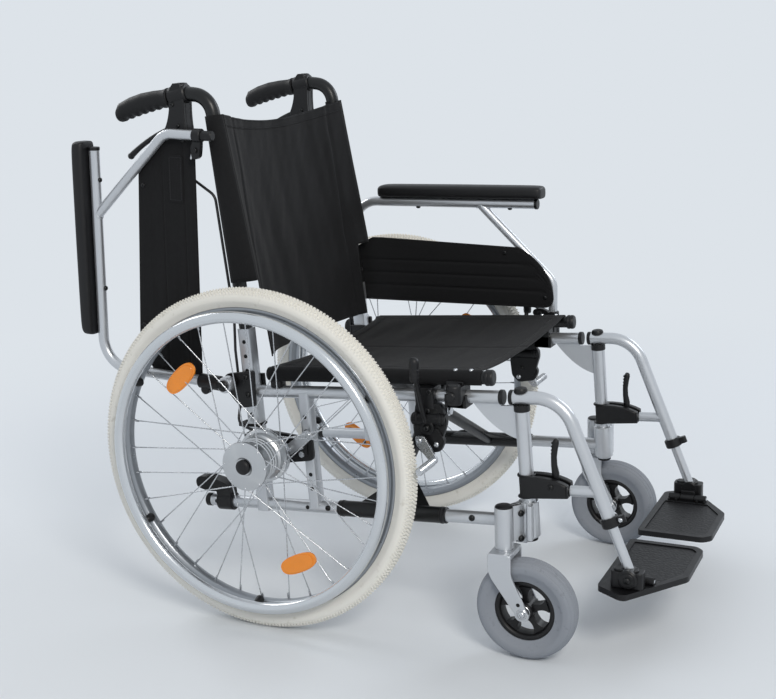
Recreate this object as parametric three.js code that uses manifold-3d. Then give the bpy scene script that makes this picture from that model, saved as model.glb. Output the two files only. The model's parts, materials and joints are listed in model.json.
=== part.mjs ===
// A folding wheelchair with a cross-braced frame, drum brakes, flip-back armrests and swing-away legrests.
// Millimetres, +Z up. The chair faces -Y, and its left side is +X.
// Each side is drawn once as the left one. The right side is its mirror image.
import * as THREE from "three";
import { mergeVertices } from "three/addons/utils/BufferGeometryUtils.js";
import Module from "manifold-3d";

const wasm = await Module();
wasm.setup();

const DEGREE = Math.PI / 180;

// Driving sizes: clearances
const runningGap = 0.5;
const seatGap = 0.3;

// Driving sizes: the side frame. Its rails rise towards the front by the pitch.
const framePitch = 3.2 * DEGREE;
const framePlane = 222;
const lowerRailHeight = 193.3;
const railRadius = 11;
const upperRailRise = 210.5;
const upperRailFront = 438;
const upperRailCap = 6;
const lowerRailRear = -159;
const frontPostAt = 468;
const frontPostRadius = 12;
const frontPostFoot = -31.5;
const rearPostAt = -36;
const rearPostWidth = 26;
const rearPostDepth = 24;
const rearPostTop = 325;
const strutAt = 70;
const strutWidth = 24;
const strutDepth = 20;
const gussetReach = 62;
const gussetThickness = 4;

// Driving sizes: the back tubes and push handles
const backTubeRadius = 12.5;
const backTubeLean = 2.8 * DEGREE;
const backTubeLength = 366;
const handleRise = 38;
const handleReach = 50;
const handleDrop = 11 * DEGREE;
const handleLength = 150;
const handleBend = 38;
const gripRadius = 15.5;
const gripFlange = 1.5;
const leverHalfWidth = 6;
const housingDrop = 100;
const leverPivotDrop = 52;
const gripLength = handleLength - 32;

// Driving sizes: rear wheels
const wheelRadius = 303;
const wheelPlane = framePlane + 87;
const tyreWidth = 35;
const tyreHeight = 31;
const rimHeight = 16;
const rimWidth = 25;
const handrimRadius = 259;
const handrimPlane = wheelPlane + 32;
const handrimTube = 10;
const standoffCount = 6;
const hubInner = wheelPlane - 33;
const hubWidth = 72;
const hubOuter = hubInner + hubWidth;
const hubBarrelRadius = 36;
const hubInnerFlange = 47;
const hubOuterFlange = 43;
const flangeThickness = 5;
const spokeCount = 32;
const spokeRadius = 1.4;
const spokeStagger = 1.6;
const spokeSweep = 46 * DEGREE;
const axleRadius = 6;
const axleCapRadius = 13;
const axleCapLength = 5;
const reflectorLength = 74;
const reflectorWidth = 32;
const reflectorThickness = 7;
const reflectorOrbit = 192;
const reflectorAngles = [46.6 * DEGREE, -115.3 * DEGREE];
const brakePlateInner = hubInner - 14;
const bracketThickness = 7;
const cableRadius = 2.5;
const armPinRadius = 6;

// Driving sizes: casters
const casterRadius = 85.5;
const casterPlane = framePlane + 43;
const casterStemAt = -438;
const casterTrail = 38;
const casterWidth = 42;
const casterRimRadius = 51;
const casterHubRadius = 15;
const casterSpokes = 5;
const forkPlate = 5;
const forkGap = 3;
const crownThickness = 9;
const housingRadius = 15.5;
const housingHeight = 70;
const housingCap = 3;
const stemRadius = 7;

// Driving sizes: legrests
const hangerRadius = 11;
const hangerRear = 449;
const hangerBend = 62;
const hangerBendAt = 537;
const legAngle = 18.5 * DEGREE;
const legLength = 219;
const extensionRadius = 8.6;
const extensionOut = 82;
const extensionIn = 105;
const collarRadius = 17;
const collarWidth = 14;
const latchRise = 57;
const latchLength = 79;
const latchBelow = 13;
const latchAbove = 24;
const latchWidth = 38;
const latchLeverRise = 54;
const swivelPinRadius = 7;
const swivelPinLength = 60;

// Driving sizes: footplates
const plateTop = 130;
const plateThickness = 10;
const plateRear = -585;
const plateFront = -715;
const plateInner = 22;
const plateHingePlane = framePlane - 19;
const plateOuter = plateHingePlane + 59;
const knuckleRadius = 7.5;
const knuckleRise = 4;
const knuckleLength = 26;

// Driving sizes: armrests, given with the armrest down
const armPlane = framePlane + 38;
const armPivot = { y: 79, z: 420 };
const armFlip = 87.5 * DEGREE;
const armTubeRadius = 10.5;
const armTopRise = 261;
const armTopHeight = armPivot.z + armTopRise;
const armTubeFront = -322;
const armRearTop = 74;
const armBend = 55;
const armDiagonalTop = -206;
const armDiagonalKnee = { y: -355, z: 530 };
const armPlugFoot = 432;
const plugGap = 1.5;
const padLength = 352;
const padWidth = 46;
const padHeight = 27;
const padOffset = 3;
const padFront = -338;
const panelThickness = 8;
const panelTop = armTopHeight - 78;
const panelFootRise = 58;
const panelFoot = armPivot.z + panelFootRise;
const panelGrooves = [0.256, 0.464, 0.672];

// Driving sizes: cross brace and seat
const seatRailRadius = 11;
const seatRailRise = 242.5;
const seatRailFront = 418;
const seatRailRear = 2;
const braceTubeRadius = 11;
const braceMiddle = 218;
const braceOffset = 13;
const sleeveRadius = 14;
const sleeveLength = 206;
const pivotBoltRadius = 5;
const webHalfLength = 78;
const webReach = 74;
const webThickness = 5;
const slingThickness = 2.5;
const seatSag = 14;
const backTop = 695;
const backFoot = 372;
const backSag = 34;
const flapFoot = 264;
const flapWidth = 372;

// Driving sizes: parking brakes
const shoeRadius = 7;
const shoeGap = 5;
const shoeLift = 3 * DEGREE;
const brakePivot = { y: 3 - wheelRadius, z: 372 };
const shoePivot = { y: brakePivot.y + 10, z: brakePivot.z - 20 };
const brakeLeverTop = { y: brakePivot.y + 6, z: brakePivot.z + 123 };
const brakeLeverPlane = framePlane + 59;

// A point of the side frame: u forward along the rails from above the axle, w up from the lower rail.
function railPoint(x, u, w) {
  return new THREE.Vector3(
    x,
    -u * Math.cos(framePitch) + w * Math.sin(framePitch),
    lowerRailHeight + u * Math.sin(framePitch) + w * Math.cos(framePitch),
  );
}

// A closed geometry as a solid. Its seams are merged and its faces are turned outwards.
function solid(geometry) {
  const bare = geometry.clone();
  bare.deleteAttribute("normal");
  bare.deleteAttribute("uv");
  const merged = mergeVertices(bare, 1e-4);
  const corners = merged.index.array;
  const faces = [];
  for (let i = 0; i < corners.length; i += 3) {
    const [a, b, c] = [corners[i], corners[i + 1], corners[i + 2]];
    if (a !== b && b !== c && c !== a) faces.push([a, b, c]);
  }
  const build = (list) =>
    new wasm.Manifold(
      new wasm.Mesh({
        numProp: 3,
        vertProperties: merged.attributes.position.array,
        triVerts: new Uint32Array(list.flat()),
      }),
    );
  const made = build(faces);
  return made.volume() < 0 ? build(faces.map(([a, b, c]) => [a, c, b])) : made;
}

function join(...shapes) {
  return shapes.reduce((whole, shape) => whole.add(shape));
}

function cut(shape, ...tools) {
  return tools.reduce((rest, tool) => rest.subtract(tool), shape);
}

function geometryOf(shape) {
  const mesh = shape.getMesh();
  const geometry = new THREE.BufferGeometry();
  geometry.setAttribute("position", new THREE.BufferAttribute(mesh.vertProperties, 3));
  geometry.setIndex(new THREE.BufferAttribute(mesh.triVerts, 1));
  geometry.computeVertexNormals();
  return geometry;
}

// A regular outline, for round sections.
function ring(radius, sides = 12) {
  const points = [];
  for (let i = 0; i < sides; i += 1) {
    const angle = ((i + 0.5) / sides) * 2 * Math.PI;
    points.push(new THREE.Vector2(radius * Math.cos(angle), radius * Math.sin(angle)));
  }
  return points;
}

// A path with a section only where it starts, ends or bends.
class BentPath extends THREE.Curve {
  constructor(stations) {
    super();
    this.stations = stations;
  }
  getPoint(t) {
    const place = t * (this.stations.length - 1);
    const index = Math.min(Math.floor(place), this.stations.length - 2);
    return this.stations[index].point
      .clone()
      .lerp(this.stations[index + 1].point, place - index);
  }
  getSpacedPoints() {
    return this.stations.map((station) => station.point.clone());
  }
  getTangentAt(t) {
    return this.stations[Math.round(t * (this.stations.length - 1))].heading.clone();
  }
}

function bentPath(points, bendRadius, bendStep = 15 * DEGREE) {
  const heading = (from, to) => to.clone().sub(from).normalize();
  const stations = [{ point: points[0], heading: heading(points[0], points[1]) }];
  for (let i = 1; i < points.length - 1; i += 1) {
    const before = heading(points[i - 1], points[i]);
    const after = heading(points[i], points[i + 1]);
    const turn = before.angleTo(after);
    const start = points[i].clone().addScaledVector(before, -bendRadius * Math.tan(turn / 2));
    const inward = after.clone().sub(before).normalize();
    const centre = points[i].clone().addScaledVector(inward, bendRadius / Math.cos(turn / 2));
    const axis = before.clone().cross(after).normalize();
    const steps = Math.max(1, Math.round(turn / bendStep));
    for (let k = 0; k <= steps; k += 1) {
      const angle = (turn * k) / steps;
      stations.push({
        point: start.clone().sub(centre).applyAxisAngle(axis, angle).add(centre),
        heading: before.clone().applyAxisAngle(axis, angle),
      });
    }
  }
  const last = points.length - 1;
  stations.push({ point: points[last], heading: heading(points[last - 1], points[last]) });
  return new BentPath(stations);
}

function tube(points, radius, bendRadius, sides = 10, bendStep = 18 * DEGREE) {
  const path = bentPath(points, bendRadius, bendStep);
  return solid(
    new THREE.ExtrudeGeometry(new THREE.Shape(ring(radius, sides)), {
      steps: path.stations.length - 1,
      extrudePath: path,
      bevelEnabled: false,
    }),
  );
}

function rod(from, to, radius, sides = 10, endRadius = radius) {
  const along = to.clone().sub(from);
  const geometry = new THREE.CylinderGeometry(endRadius, radius, along.length(), sides);
  geometry.applyQuaternion(
    new THREE.Quaternion().setFromUnitVectors(new THREE.Vector3(0, 1, 0), along.clone().normalize()),
  );
  const middle = from.clone().add(to).multiplyScalar(0.5);
  geometry.translate(middle.x, middle.y, middle.z);
  return solid(geometry);
}

// The tool for a bore: its faces lie outside the round that runs in it.
function borer(from, to, radius, sides = 10) {
  return rod(from, to, radius / Math.cos(Math.PI / sides), sides);
}

// A rod along X about a point given by its y and z.
function pin(centre, fromX, toX, radius, sides = 12) {
  return rod(
    new THREE.Vector3(fromX, centre.y, centre.z),
    new THREE.Vector3(toX, centre.y, centre.z),
    radius,
    sides,
  );
}

// A box in the axes of the side frame: sizes along x, u and w.
function frameBox(x, u, w, sizeX, sizeU, sizeW) {
  const geometry = new THREE.BoxGeometry(sizeX, sizeU, sizeW);
  geometry.rotateX(-framePitch);
  const place = railPoint(x, u, w);
  geometry.translate(place.x, place.y, place.z);
  return solid(geometry);
}

function box(fromX, toX, fromY, toY, fromZ, toZ) {
  const geometry = new THREE.BoxGeometry(toX - fromX, toY - fromY, toZ - fromZ);
  geometry.translate((fromX + toX) / 2, (fromY + toY) / 2, (fromZ + toZ) / 2);
  return solid(geometry);
}

// A plate with its outline in y and z, between two values of x.
function slab(shape, fromX, toX, segments = 6) {
  const outline = Array.isArray(shape)
    ? new THREE.Shape(shape.map(([y, z]) => new THREE.Vector2(y, z)))
    : shape;
  const geometry = new THREE.ExtrudeGeometry(outline, {
    depth: toX - fromX,
    bevelEnabled: false,
    curveSegments: segments,
  });
  geometry.applyMatrix4(
    new THREE.Matrix4().makeBasis(
      new THREE.Vector3(0, 1, 0),
      new THREE.Vector3(0, 0, 1),
      new THREE.Vector3(1, 0, 0),
    ),
  );
  geometry.translate(fromX, 0, 0);
  return solid(geometry);
}

// A plate with its outline in x and y, between two heights.
function deck(outline, fromZ, toZ) {
  const geometry = new THREE.ExtrudeGeometry(
    new THREE.Shape(outline.map(([x, y]) => new THREE.Vector2(x, y))),
    { depth: toZ - fromZ, bevelEnabled: false },
  );
  geometry.translate(0, 0, fromZ);
  return solid(geometry);
}

// A body of revolution about an axle along X. The profile holds pairs of radius and x.
function turned(profile, centre, segments) {
  const closed = [...profile, profile[0]].map(([radius, x]) => new THREE.Vector2(radius, x));
  const geometry = new THREE.LatheGeometry(closed, segments);
  geometry.rotateZ(-90 * DEGREE);
  geometry.translate(0, centre.y, centre.z);
  return solid(geometry);
}

// A sheet of one thickness along a grid of middle points.
function sheet(rows, thickness) {
  const count = rows.length;
  const width = rows[0].length;
  const faceOf = (side) =>
    rows.map((row, i) =>
      row.map((point, j) => {
        const along = rows[Math.min(i + 1, count - 1)][j].clone().sub(rows[Math.max(i - 1, 0)][j]);
        const across = row[Math.min(j + 1, width - 1)].clone().sub(row[Math.max(j - 1, 0)]);
        const normal = along.cross(across).normalize();
        return point.clone().addScaledVector(normal, (side * thickness) / 2);
      }),
    );
  const points = [...faceOf(1).flat(), ...faceOf(-1).flat()];
  const upper = (i, j) => i * width + j;
  const lower = (i, j) => count * width + i * width + j;
  const faces = [];
  const quad = (a, b, c, d) => faces.push(a, b, c, a, c, d);
  for (let i = 0; i < count - 1; i += 1) {
    for (let j = 0; j < width - 1; j += 1) {
      quad(upper(i, j), upper(i + 1, j), upper(i + 1, j + 1), upper(i, j + 1));
      quad(lower(i, j), lower(i, j + 1), lower(i + 1, j + 1), lower(i + 1, j));
    }
    quad(upper(i, 0), lower(i, 0), lower(i + 1, 0), upper(i + 1, 0));
    quad(upper(i, width - 1), upper(i + 1, width - 1), lower(i + 1, width - 1), lower(i, width - 1));
  }
  for (let j = 0; j < width - 1; j += 1) {
    quad(upper(0, j), upper(0, j + 1), lower(0, j + 1), lower(0, j));
    quad(upper(count - 1, j), lower(count - 1, j), lower(count - 1, j + 1), upper(count - 1, j + 1));
  }
  const geometry = new THREE.BufferGeometry();
  geometry.setAttribute(
    "position",
    new THREE.Float32BufferAttribute(points.flatMap((p) => [p.x, p.y, p.z]), 3),
  );
  geometry.setIndex(faces);
  return solid(geometry);
}

const finishes = {
  silver: { color: 0xb9bcc0, roughness: 0.35, metalness: 0.9 },
  polished: { color: 0xd8dadc, roughness: 0.18, metalness: 1 },
  black: { color: 0x141416, roughness: 0.5, metalness: 0 },
  blackSteel: { color: 0x18181a, roughness: 0.4, metalness: 0.3 },
  cream: { color: 0xd9d4c2, roughness: 0.8, metalness: 0 },
  gray: { color: 0x7d8188, roughness: 0.8, metalness: 0 },
  cloth: { color: 0x17171b, roughness: 0.9, metalness: 0 },
  pad: { color: 0x1a1a1c, roughness: 0.7, metalness: 0 },
};

function addMesh(group, name, finish, geometry) {
  const mesh = new THREE.Mesh(geometry, new THREE.MeshStandardMaterial(finishes[finish]));
  mesh.name = name;
  group.add(mesh);
}

const axle = { y: 0, z: wheelRadius };
const casterAxle = { y: casterStemAt - casterTrail, z: casterRadius };

// The welded side frame: two rails, two posts, the strut behind the brake and a gusset plate.
function sideFrame() {
  const lowerRail = rod(
    railPoint(framePlane, lowerRailRear, 0),
    railPoint(framePlane, frontPostAt, 0),
    railRadius,
  );
  const upperRail = rod(
    railPoint(framePlane, rearPostAt, upperRailRise),
    railPoint(framePlane, upperRailFront, upperRailRise),
    railRadius,
  );
  const cap = rod(
    railPoint(framePlane, upperRailFront - upperRailCap, upperRailRise),
    railPoint(framePlane, upperRailFront + 1, upperRailRise),
    railRadius + 1.5,
  );
  const postTop = upperRailRise - hangerRadius - seatGap;
  const frontPost = rod(
    railPoint(framePlane, frontPostAt, frontPostFoot),
    railPoint(framePlane, frontPostAt, postTop),
    frontPostRadius,
    12,
  );
  const pinBore = borer(
    railPoint(framePlane, frontPostAt, postTop - swivelPinLength - 2),
    railPoint(framePlane, frontPostAt, postTop + 2),
    swivelPinRadius + runningGap,
  );
  const rearPost = frameBox(
    framePlane,
    rearPostAt,
    rearPostTop / 2 - railRadius / 2,
    rearPostWidth,
    rearPostDepth,
    rearPostTop + railRadius,
  );
  const strut = frameBox(
    framePlane,
    strutAt,
    upperRailRise / 2,
    strutWidth,
    strutDepth,
    upperRailRise,
  );
  const gusset = new THREE.Shape();
  const corner = (u, w) => {
    const p = railPoint(0, u, w);
    return [p.y, p.z];
  };
  const railEdge = upperRailRise - railRadius + 2;
  const underHanger = upperRailRise - hangerRadius - 3;
  gusset.moveTo(...corner(frontPostAt - 4, underHanger));
  gusset.lineTo(...corner(upperRailFront - upperRailCap, underHanger));
  gusset.lineTo(...corner(upperRailFront - upperRailCap, railEdge));
  gusset.lineTo(...corner(frontPostAt - gussetReach - 22, railEdge));
  gusset.quadraticCurveTo(
    ...corner(frontPostAt - gussetReach * 0.75, railEdge - gussetReach * 0.85),
    ...corner(frontPostAt - 4, railEdge - gussetReach),
  );
  gusset.closePath();
  const plate = slab(gusset, framePlane - gussetThickness / 2, framePlane + gussetThickness / 2);
  const rearSaddle = frameBox(
    framePlane,
    (rearPostAt + strutAt) / 2,
    upperRailRise + railRadius,
    18,
    22,
    2 * (seatRailRise - upperRailRise - seatRailRadius - railRadius - seatGap) + 8,
  );
  const saddleBed = borer(
    railPoint(framePlane, rearPostAt, seatRailRise),
    railPoint(framePlane, strutAt, seatRailRise),
    seatRailRadius + seatGap,
  );
  const frame = join(lowerRail, upperRail, cap, frontPost, rearPost, strut, plate);
  return join(cut(frame, pinBore), cut(rearSaddle, saddleBed));
}

// The direction of the back tubes, and points along them.
function backPoint(x, w, across = 0) {
  const along = w - rearPostTop;
  const base = railPoint(x, rearPostAt, rearPostTop);
  const up = framePitch + backTubeLean;
  return new THREE.Vector3(
    x,
    base.y + along * Math.sin(up) + across * Math.cos(up),
    base.z + along * Math.cos(up) - across * Math.sin(up),
  );
}

// The push handle's knees and end, in y and z.
const handleKnee = backPoint(framePlane, rearPostTop + backTubeLength + handleRise);
const handleCrest = new THREE.Vector3(framePlane, handleKnee.y + handleReach, handleKnee.z + 6);
const handleEnd = new THREE.Vector3(
  framePlane,
  handleCrest.y + handleLength * Math.cos(handleDrop),
  handleCrest.z - handleLength * Math.sin(handleDrop),
);

function handlePoint(distance) {
  return new THREE.Vector3(
    framePlane,
    handleEnd.y - distance * Math.cos(handleDrop),
    handleEnd.z + distance * Math.sin(handleDrop),
  );
}

// The back tube bends over into the push handle. The housing of the attendant brake is clamped round it.
function backTube() {
  const foot = backPoint(
    framePlane,
    rearPostTop + seatGap + backTubeRadius * Math.sin(backTubeLean),
  );
  const bent = tube([foot, handleKnee, handleCrest, handlePoint(10)], backTubeRadius, handleBend);
  return join(bent, leverHousing());
}

// The grip, with finger ridges below and a closed, rounded end.
function pushGrip() {
  const bore = borer(handlePoint(9), handlePoint(gripLength + 8), backTubeRadius + seatGap);
  const parts = [
    rod(handlePoint(4), handlePoint(gripLength), gripRadius),
    rod(handlePoint(0), handlePoint(4), gripRadius - 4, 12, gripRadius),
    rod(handlePoint(gripLength - 5), handlePoint(gripLength), gripRadius + gripFlange),
  ];
  const down = new THREE.Vector3(0, -Math.sin(handleDrop), -Math.cos(handleDrop));
  const ridgeStep = (gripLength - 22) / 4;
  for (let i = 0; i < 4; i += 1) {
    const centre = handlePoint(22 + i * ridgeStep).addScaledVector(down, gripRadius - 4);
    parts.push(
      rod(
        centre.clone().add(new THREE.Vector3(-8, 0, 0)),
        centre.clone().add(new THREE.Vector3(8, 0, 0)),
        8,
        8,
      ),
    );
  }
  return cut(join(...parts), bore);
}

// The attendant brake lever hinges in a housing that is clamped round the push handle.
const leverPivot = handlePoint(handleLength - 11).add(new THREE.Vector3(0, 0, -leverPivotDrop));

function attendantLever() {
  const at = (y, z) => [leverPivot.y + y, leverPivot.z + z];
  const shape = new THREE.Shape();
  shape.moveTo(...at(-8, 6));
  shape.lineTo(...at(10, 8));
  shape.quadraticCurveTo(...at(68, -8), ...at(118, -50));
  shape.lineTo(...at(112, -60));
  shape.quadraticCurveTo(...at(64, -22), ...at(8, -10));
  shape.lineTo(...at(-6, -8));
  shape.closePath();
  return slab(shape, framePlane - leverHalfWidth, framePlane + leverHalfWidth, 4);
}

function leverHousing() {
  const clampCentre = handlePoint(handleLength - 11);
  const clamp = rod(handlePoint(gripLength + 2), handlePoint(handleLength + 6), gripRadius + gripFlange, 14);
  const at = (y, z) => [clampCentre.y + y, clampCentre.z + z];
  const body = new THREE.Shape();
  body.moveTo(...at(-14, 20));
  body.lineTo(...at(9, 20));
  body.lineTo(...at(17, 6));
  body.lineTo(...at(17, -24));
  body.quadraticCurveTo(...at(20, -42), ...at(28, -56));
  body.lineTo(...at(6, -housingDrop));
  body.lineTo(...at(-14, -housingDrop));
  body.lineTo(...at(-20, -60));
  body.quadraticCurveTo(...at(-16, -36), ...at(-20, -4));
  body.closePath();
  const slot = box(
    framePlane - leverHalfWidth - runningGap,
    framePlane + leverHalfWidth + runningGap,
    leverPivot.y - 11,
    leverPivot.y + 60,
    leverPivot.z - 60,
    leverPivot.z + 11,
  );
  return cut(join(clamp, slab(body, framePlane - 14, framePlane + 14, 4)), slot);
}

// The drum brake's cable runs down behind the back tube and round to the back plate.
function brakeCable() {
  const behind = backTubeRadius + seatGap + slingThickness + 2 + cableRadius;
  const beside = framePlane + 3;
  const points = [
    new THREE.Vector3(beside, leverPivot.y - 6, leverPivot.z + leverPivotDrop - housingDrop - 2 * seatGap),
    new THREE.Vector3(beside, leverPivot.y - 12, leverPivot.z - 90),
    backPoint(beside, rearPostTop + backTubeLength - 130, behind),
    backPoint(beside, rearPostTop + 20, behind),
    railPoint(beside, rearPostAt - 26, rearPostTop - 40),
    railPoint(beside, rearPostAt - 26, 196),
    railPoint(brakePlateInner - 12, rearPostAt - 22, 156),
    new THREE.Vector3(brakePlateInner - cableRadius - seatGap, axle.y + 18, axle.z + 34),
  ];
  return tube(points, cableRadius, 16, 6, 30 * DEGREE);
}

// Rear wheels
const tyreInner = wheelRadius - tyreHeight;
const rimOuter = tyreInner - 0.4;
const rimInner = rimOuter - rimHeight;
const wheelSegments = 32;

function rearTyre() {
  const half = tyreWidth / 2;
  const mirrored = [
    [tyreInner, half - 5],
    [tyreInner + 12, half],
    [wheelRadius - 7, half - 3],
    [wheelRadius, half - 12],
  ];
  const profile = [
    ...mirrored.map(([radius, x]) => [radius, wheelPlane + x]),
    ...mirrored.reverse().map(([radius, x]) => [radius, wheelPlane - x]),
  ];
  return turned(profile, axle, wheelSegments);
}

function rearRim() {
  const half = rimWidth / 2;
  const profile = [
    [rimOuter, wheelPlane - half],
    [rimOuter, wheelPlane + half],
    [rimOuter - 7, wheelPlane + half + 1],
    [rimInner, wheelPlane + half - 5],
    [rimInner, wheelPlane - half + 5],
    [rimOuter - 7, wheelPlane - half - 1],
  ];
  return turned(profile, axle, wheelSegments);
}

// The handrim on its standoffs, which seat on the rim's outer edge.
function handrim() {
  const profile = ring(handrimTube, 6).map((p) => [handrimRadius + p.x, handrimPlane + p.y]);
  const parts = [turned(profile, axle, wheelSegments)];
  const seatX = wheelPlane + rimWidth / 2 + 1 + seatGap;
  for (let i = 0; i < standoffCount; i += 1) {
    const angle = ((i + 0.25) / standoffCount) * 2 * Math.PI;
    const spot = (x, radius) =>
      new THREE.Vector3(x, radius * Math.cos(angle), axle.z + radius * Math.sin(angle));
    parts.push(rod(spot(seatX, rimOuter - 7), spot(handrimPlane, handrimRadius + 1), 5.5, 6));
  }
  return join(...parts);
}

// The drum hub with its laced spokes. Half of them start at each flange and cross their neighbours.
// Two reflectors are clipped between the spokes.
function wheelHub() {
  const profile = [
    [axleRadius + runningGap, hubInner],
    [hubInnerFlange, hubInner],
    [hubInnerFlange, hubInner + flangeThickness],
    [hubBarrelRadius + 4, hubInner + flangeThickness + 5],
    [hubBarrelRadius, hubInner + 26],
    [hubBarrelRadius, hubOuter - flangeThickness - 8],
    [hubOuterFlange, hubOuter - flangeThickness - 3],
    [hubOuterFlange, hubOuter - 3],
    [hubOuterFlange - 14, hubOuter],
    [axleRadius + runningGap, hubOuter],
  ];
  const parts = [turned(profile, axle, 20)];
  const spokeHeadPlane = hubOuter - flangeThickness / 2 - 3;
  for (let i = 0; i < spokeCount; i += 1) {
    const outside = i % 2 === 0;
    const leading = i % 4 < 2 ? 1 : -1;
    const rimAngle = (i / spokeCount) * 2 * Math.PI;
    const hubAngle = rimAngle + leading * spokeSweep;
    const flange = outside ? hubOuterFlange : hubInnerFlange;
    const flangeX = outside ? spokeHeadPlane : hubInner + flangeThickness / 2;
    const rimX = wheelPlane + (outside ? 3 : -3) + leading * spokeStagger;
    const start = new THREE.Vector3(
      flangeX + leading * spokeStagger,
      (flange - 3.5) * Math.cos(hubAngle),
      axle.z + (flange - 3.5) * Math.sin(hubAngle),
    );
    const reach = rimInner * Math.cos(Math.PI / wheelSegments) - seatGap;
    const end = new THREE.Vector3(
      rimX,
      reach * Math.cos(rimAngle),
      axle.z + reach * Math.sin(rimAngle),
    );
    parts.push(rod(start, end, spokeRadius, 3));
  }
  const orbitShare = (reflectorOrbit - hubOuterFlange) / (rimInner - hubOuterFlange);
  const reflectorPlane = spokeHeadPlane + (wheelPlane + 3 - spokeHeadPlane) * orbitShare;
  for (const angle of reflectorAngles) {
    const place = new THREE.Vector3(
      reflectorPlane,
      reflectorOrbit * Math.cos(angle),
      axle.z + reflectorOrbit * Math.sin(angle),
    );
    const geometry = new THREE.CylinderGeometry(1, 1, reflectorThickness, 12);
    geometry.rotateZ(90 * DEGREE);
    geometry.scale(1, reflectorLength / 2, reflectorWidth / 2);
    geometry.rotateX(angle + 90 * DEGREE);
    geometry.translate(place.x, place.y, place.z);
    parts.push(solid(geometry));
  }
  return join(...parts);
}

// The axle bracket bridges the rear post and the strut, and holds the axle and the brake's back plate.
function axleBracket() {
  const inner = framePlane + rearPostWidth / 2 + seatGap;
  const axleRise = (axle.z - lowerRailHeight) * Math.cos(framePitch);
  const outline = [
    railPoint(0, rearPostAt - 18, axleRise - 21.5),
    railPoint(0, rearPostAt - 18, axleRise + 26.5),
    railPoint(0, rearPostAt + 14, axleRise + 36.5),
    railPoint(0, strutAt + 14, axleRise + 22.5),
    railPoint(0, strutAt + 14, axleRise - 17.5),
    railPoint(0, rearPostAt + 20, axleRise - 29.5),
  ].map((p) => [p.y, p.z]);
  const web = slab(outline, inner, inner + bracketThickness);
  const boss = pin(axle, inner, brakePlateInner + 1, 15, 12);
  const backPlate = turned(
    [
      [axleRadius - 2, brakePlateInner],
      [hubInnerFlange - 5, brakePlateInner],
      [hubInnerFlange, brakePlateInner + 4],
      [hubInnerFlange, hubInner - seatGap - 0.2],
      [axleRadius - 2, hubInner - seatGap - 0.2],
    ],
    axle,
    20,
  );
  const axlePin = pin(axle, inner, hubOuter + seatGap + 1, axleRadius, 10);
  const axleCap = pin(axle, hubOuter + seatGap, hubOuter + seatGap + axleCapLength, axleCapRadius);
  const anchor = slab(
    [
      [axle.y + 8, axle.z + 26],
      [axle.y + 46, axle.z + 20],
      [axle.y + 52, axle.z - 4],
      [axle.y + 20, axle.z - 14],
    ],
    brakePlateInner - 6,
    brakePlateInner + 1,
  );
  return join(web, boss, backPlate, anchor, axlePin, axleCap);
}

// Casters
const casterSegments = 22;

function casterTyre() {
  const half = casterWidth / 2;
  const inner = casterRimRadius + 0.4;
  const mirrored = [
    [inner, half - 7],
    [inner + 9, half],
    [casterRadius - 6, half - 4],
    [casterRadius, half - 15],
  ];
  const profile = [
    ...mirrored.map(([radius, x]) => [radius, casterPlane + x]),
    ...mirrored.reverse().map(([radius, x]) => [radius, casterPlane - x]),
  ];
  return turned(profile, casterAxle, casterSegments);
}

// The caster's plastic rim: a ring, a hub and spokes with openings between them.
function casterRim() {
  const half = casterWidth / 2 - 7;
  const outer = turned(
    [
      [casterRimRadius, casterPlane - half],
      [casterRimRadius, casterPlane + half],
      [casterRimRadius - 9, casterPlane + half],
      [casterRimRadius - 9, casterPlane - half],
    ],
    casterAxle,
    casterSegments,
  );
  const hub = turned(
    [
      [axleRadius + runningGap, casterPlane - casterWidth / 2],
      [casterHubRadius, casterPlane - casterWidth / 2],
      [casterHubRadius, casterPlane + casterWidth / 2],
      [axleRadius + runningGap, casterPlane + casterWidth / 2],
    ],
    casterAxle,
    12,
  );
  const parts = [outer, hub];
  for (let i = 0; i < casterSpokes; i += 1) {
    const geometry = new THREE.BoxGeometry(16, 12, casterRimRadius - casterHubRadius - 2);
    geometry.translate(0, 0, (casterRimRadius + casterHubRadius - 5) / 2);
    geometry.rotateX((i / casterSpokes) * 2 * Math.PI);
    geometry.translate(casterPlane, casterAxle.y, casterAxle.z);
    parts.push(solid(geometry));
  }
  return join(...parts);
}

// The fork: a crown under the stem, two tapered plates, and the wheel's axle bolt through them.
const forkCrownFoot = casterAxle.z + casterRadius + 3.5;
const forkCrownTop = forkCrownFoot + crownThickness;
const housingFoot = forkCrownTop + 2;
const housingTop = housingFoot + housingHeight;

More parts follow.
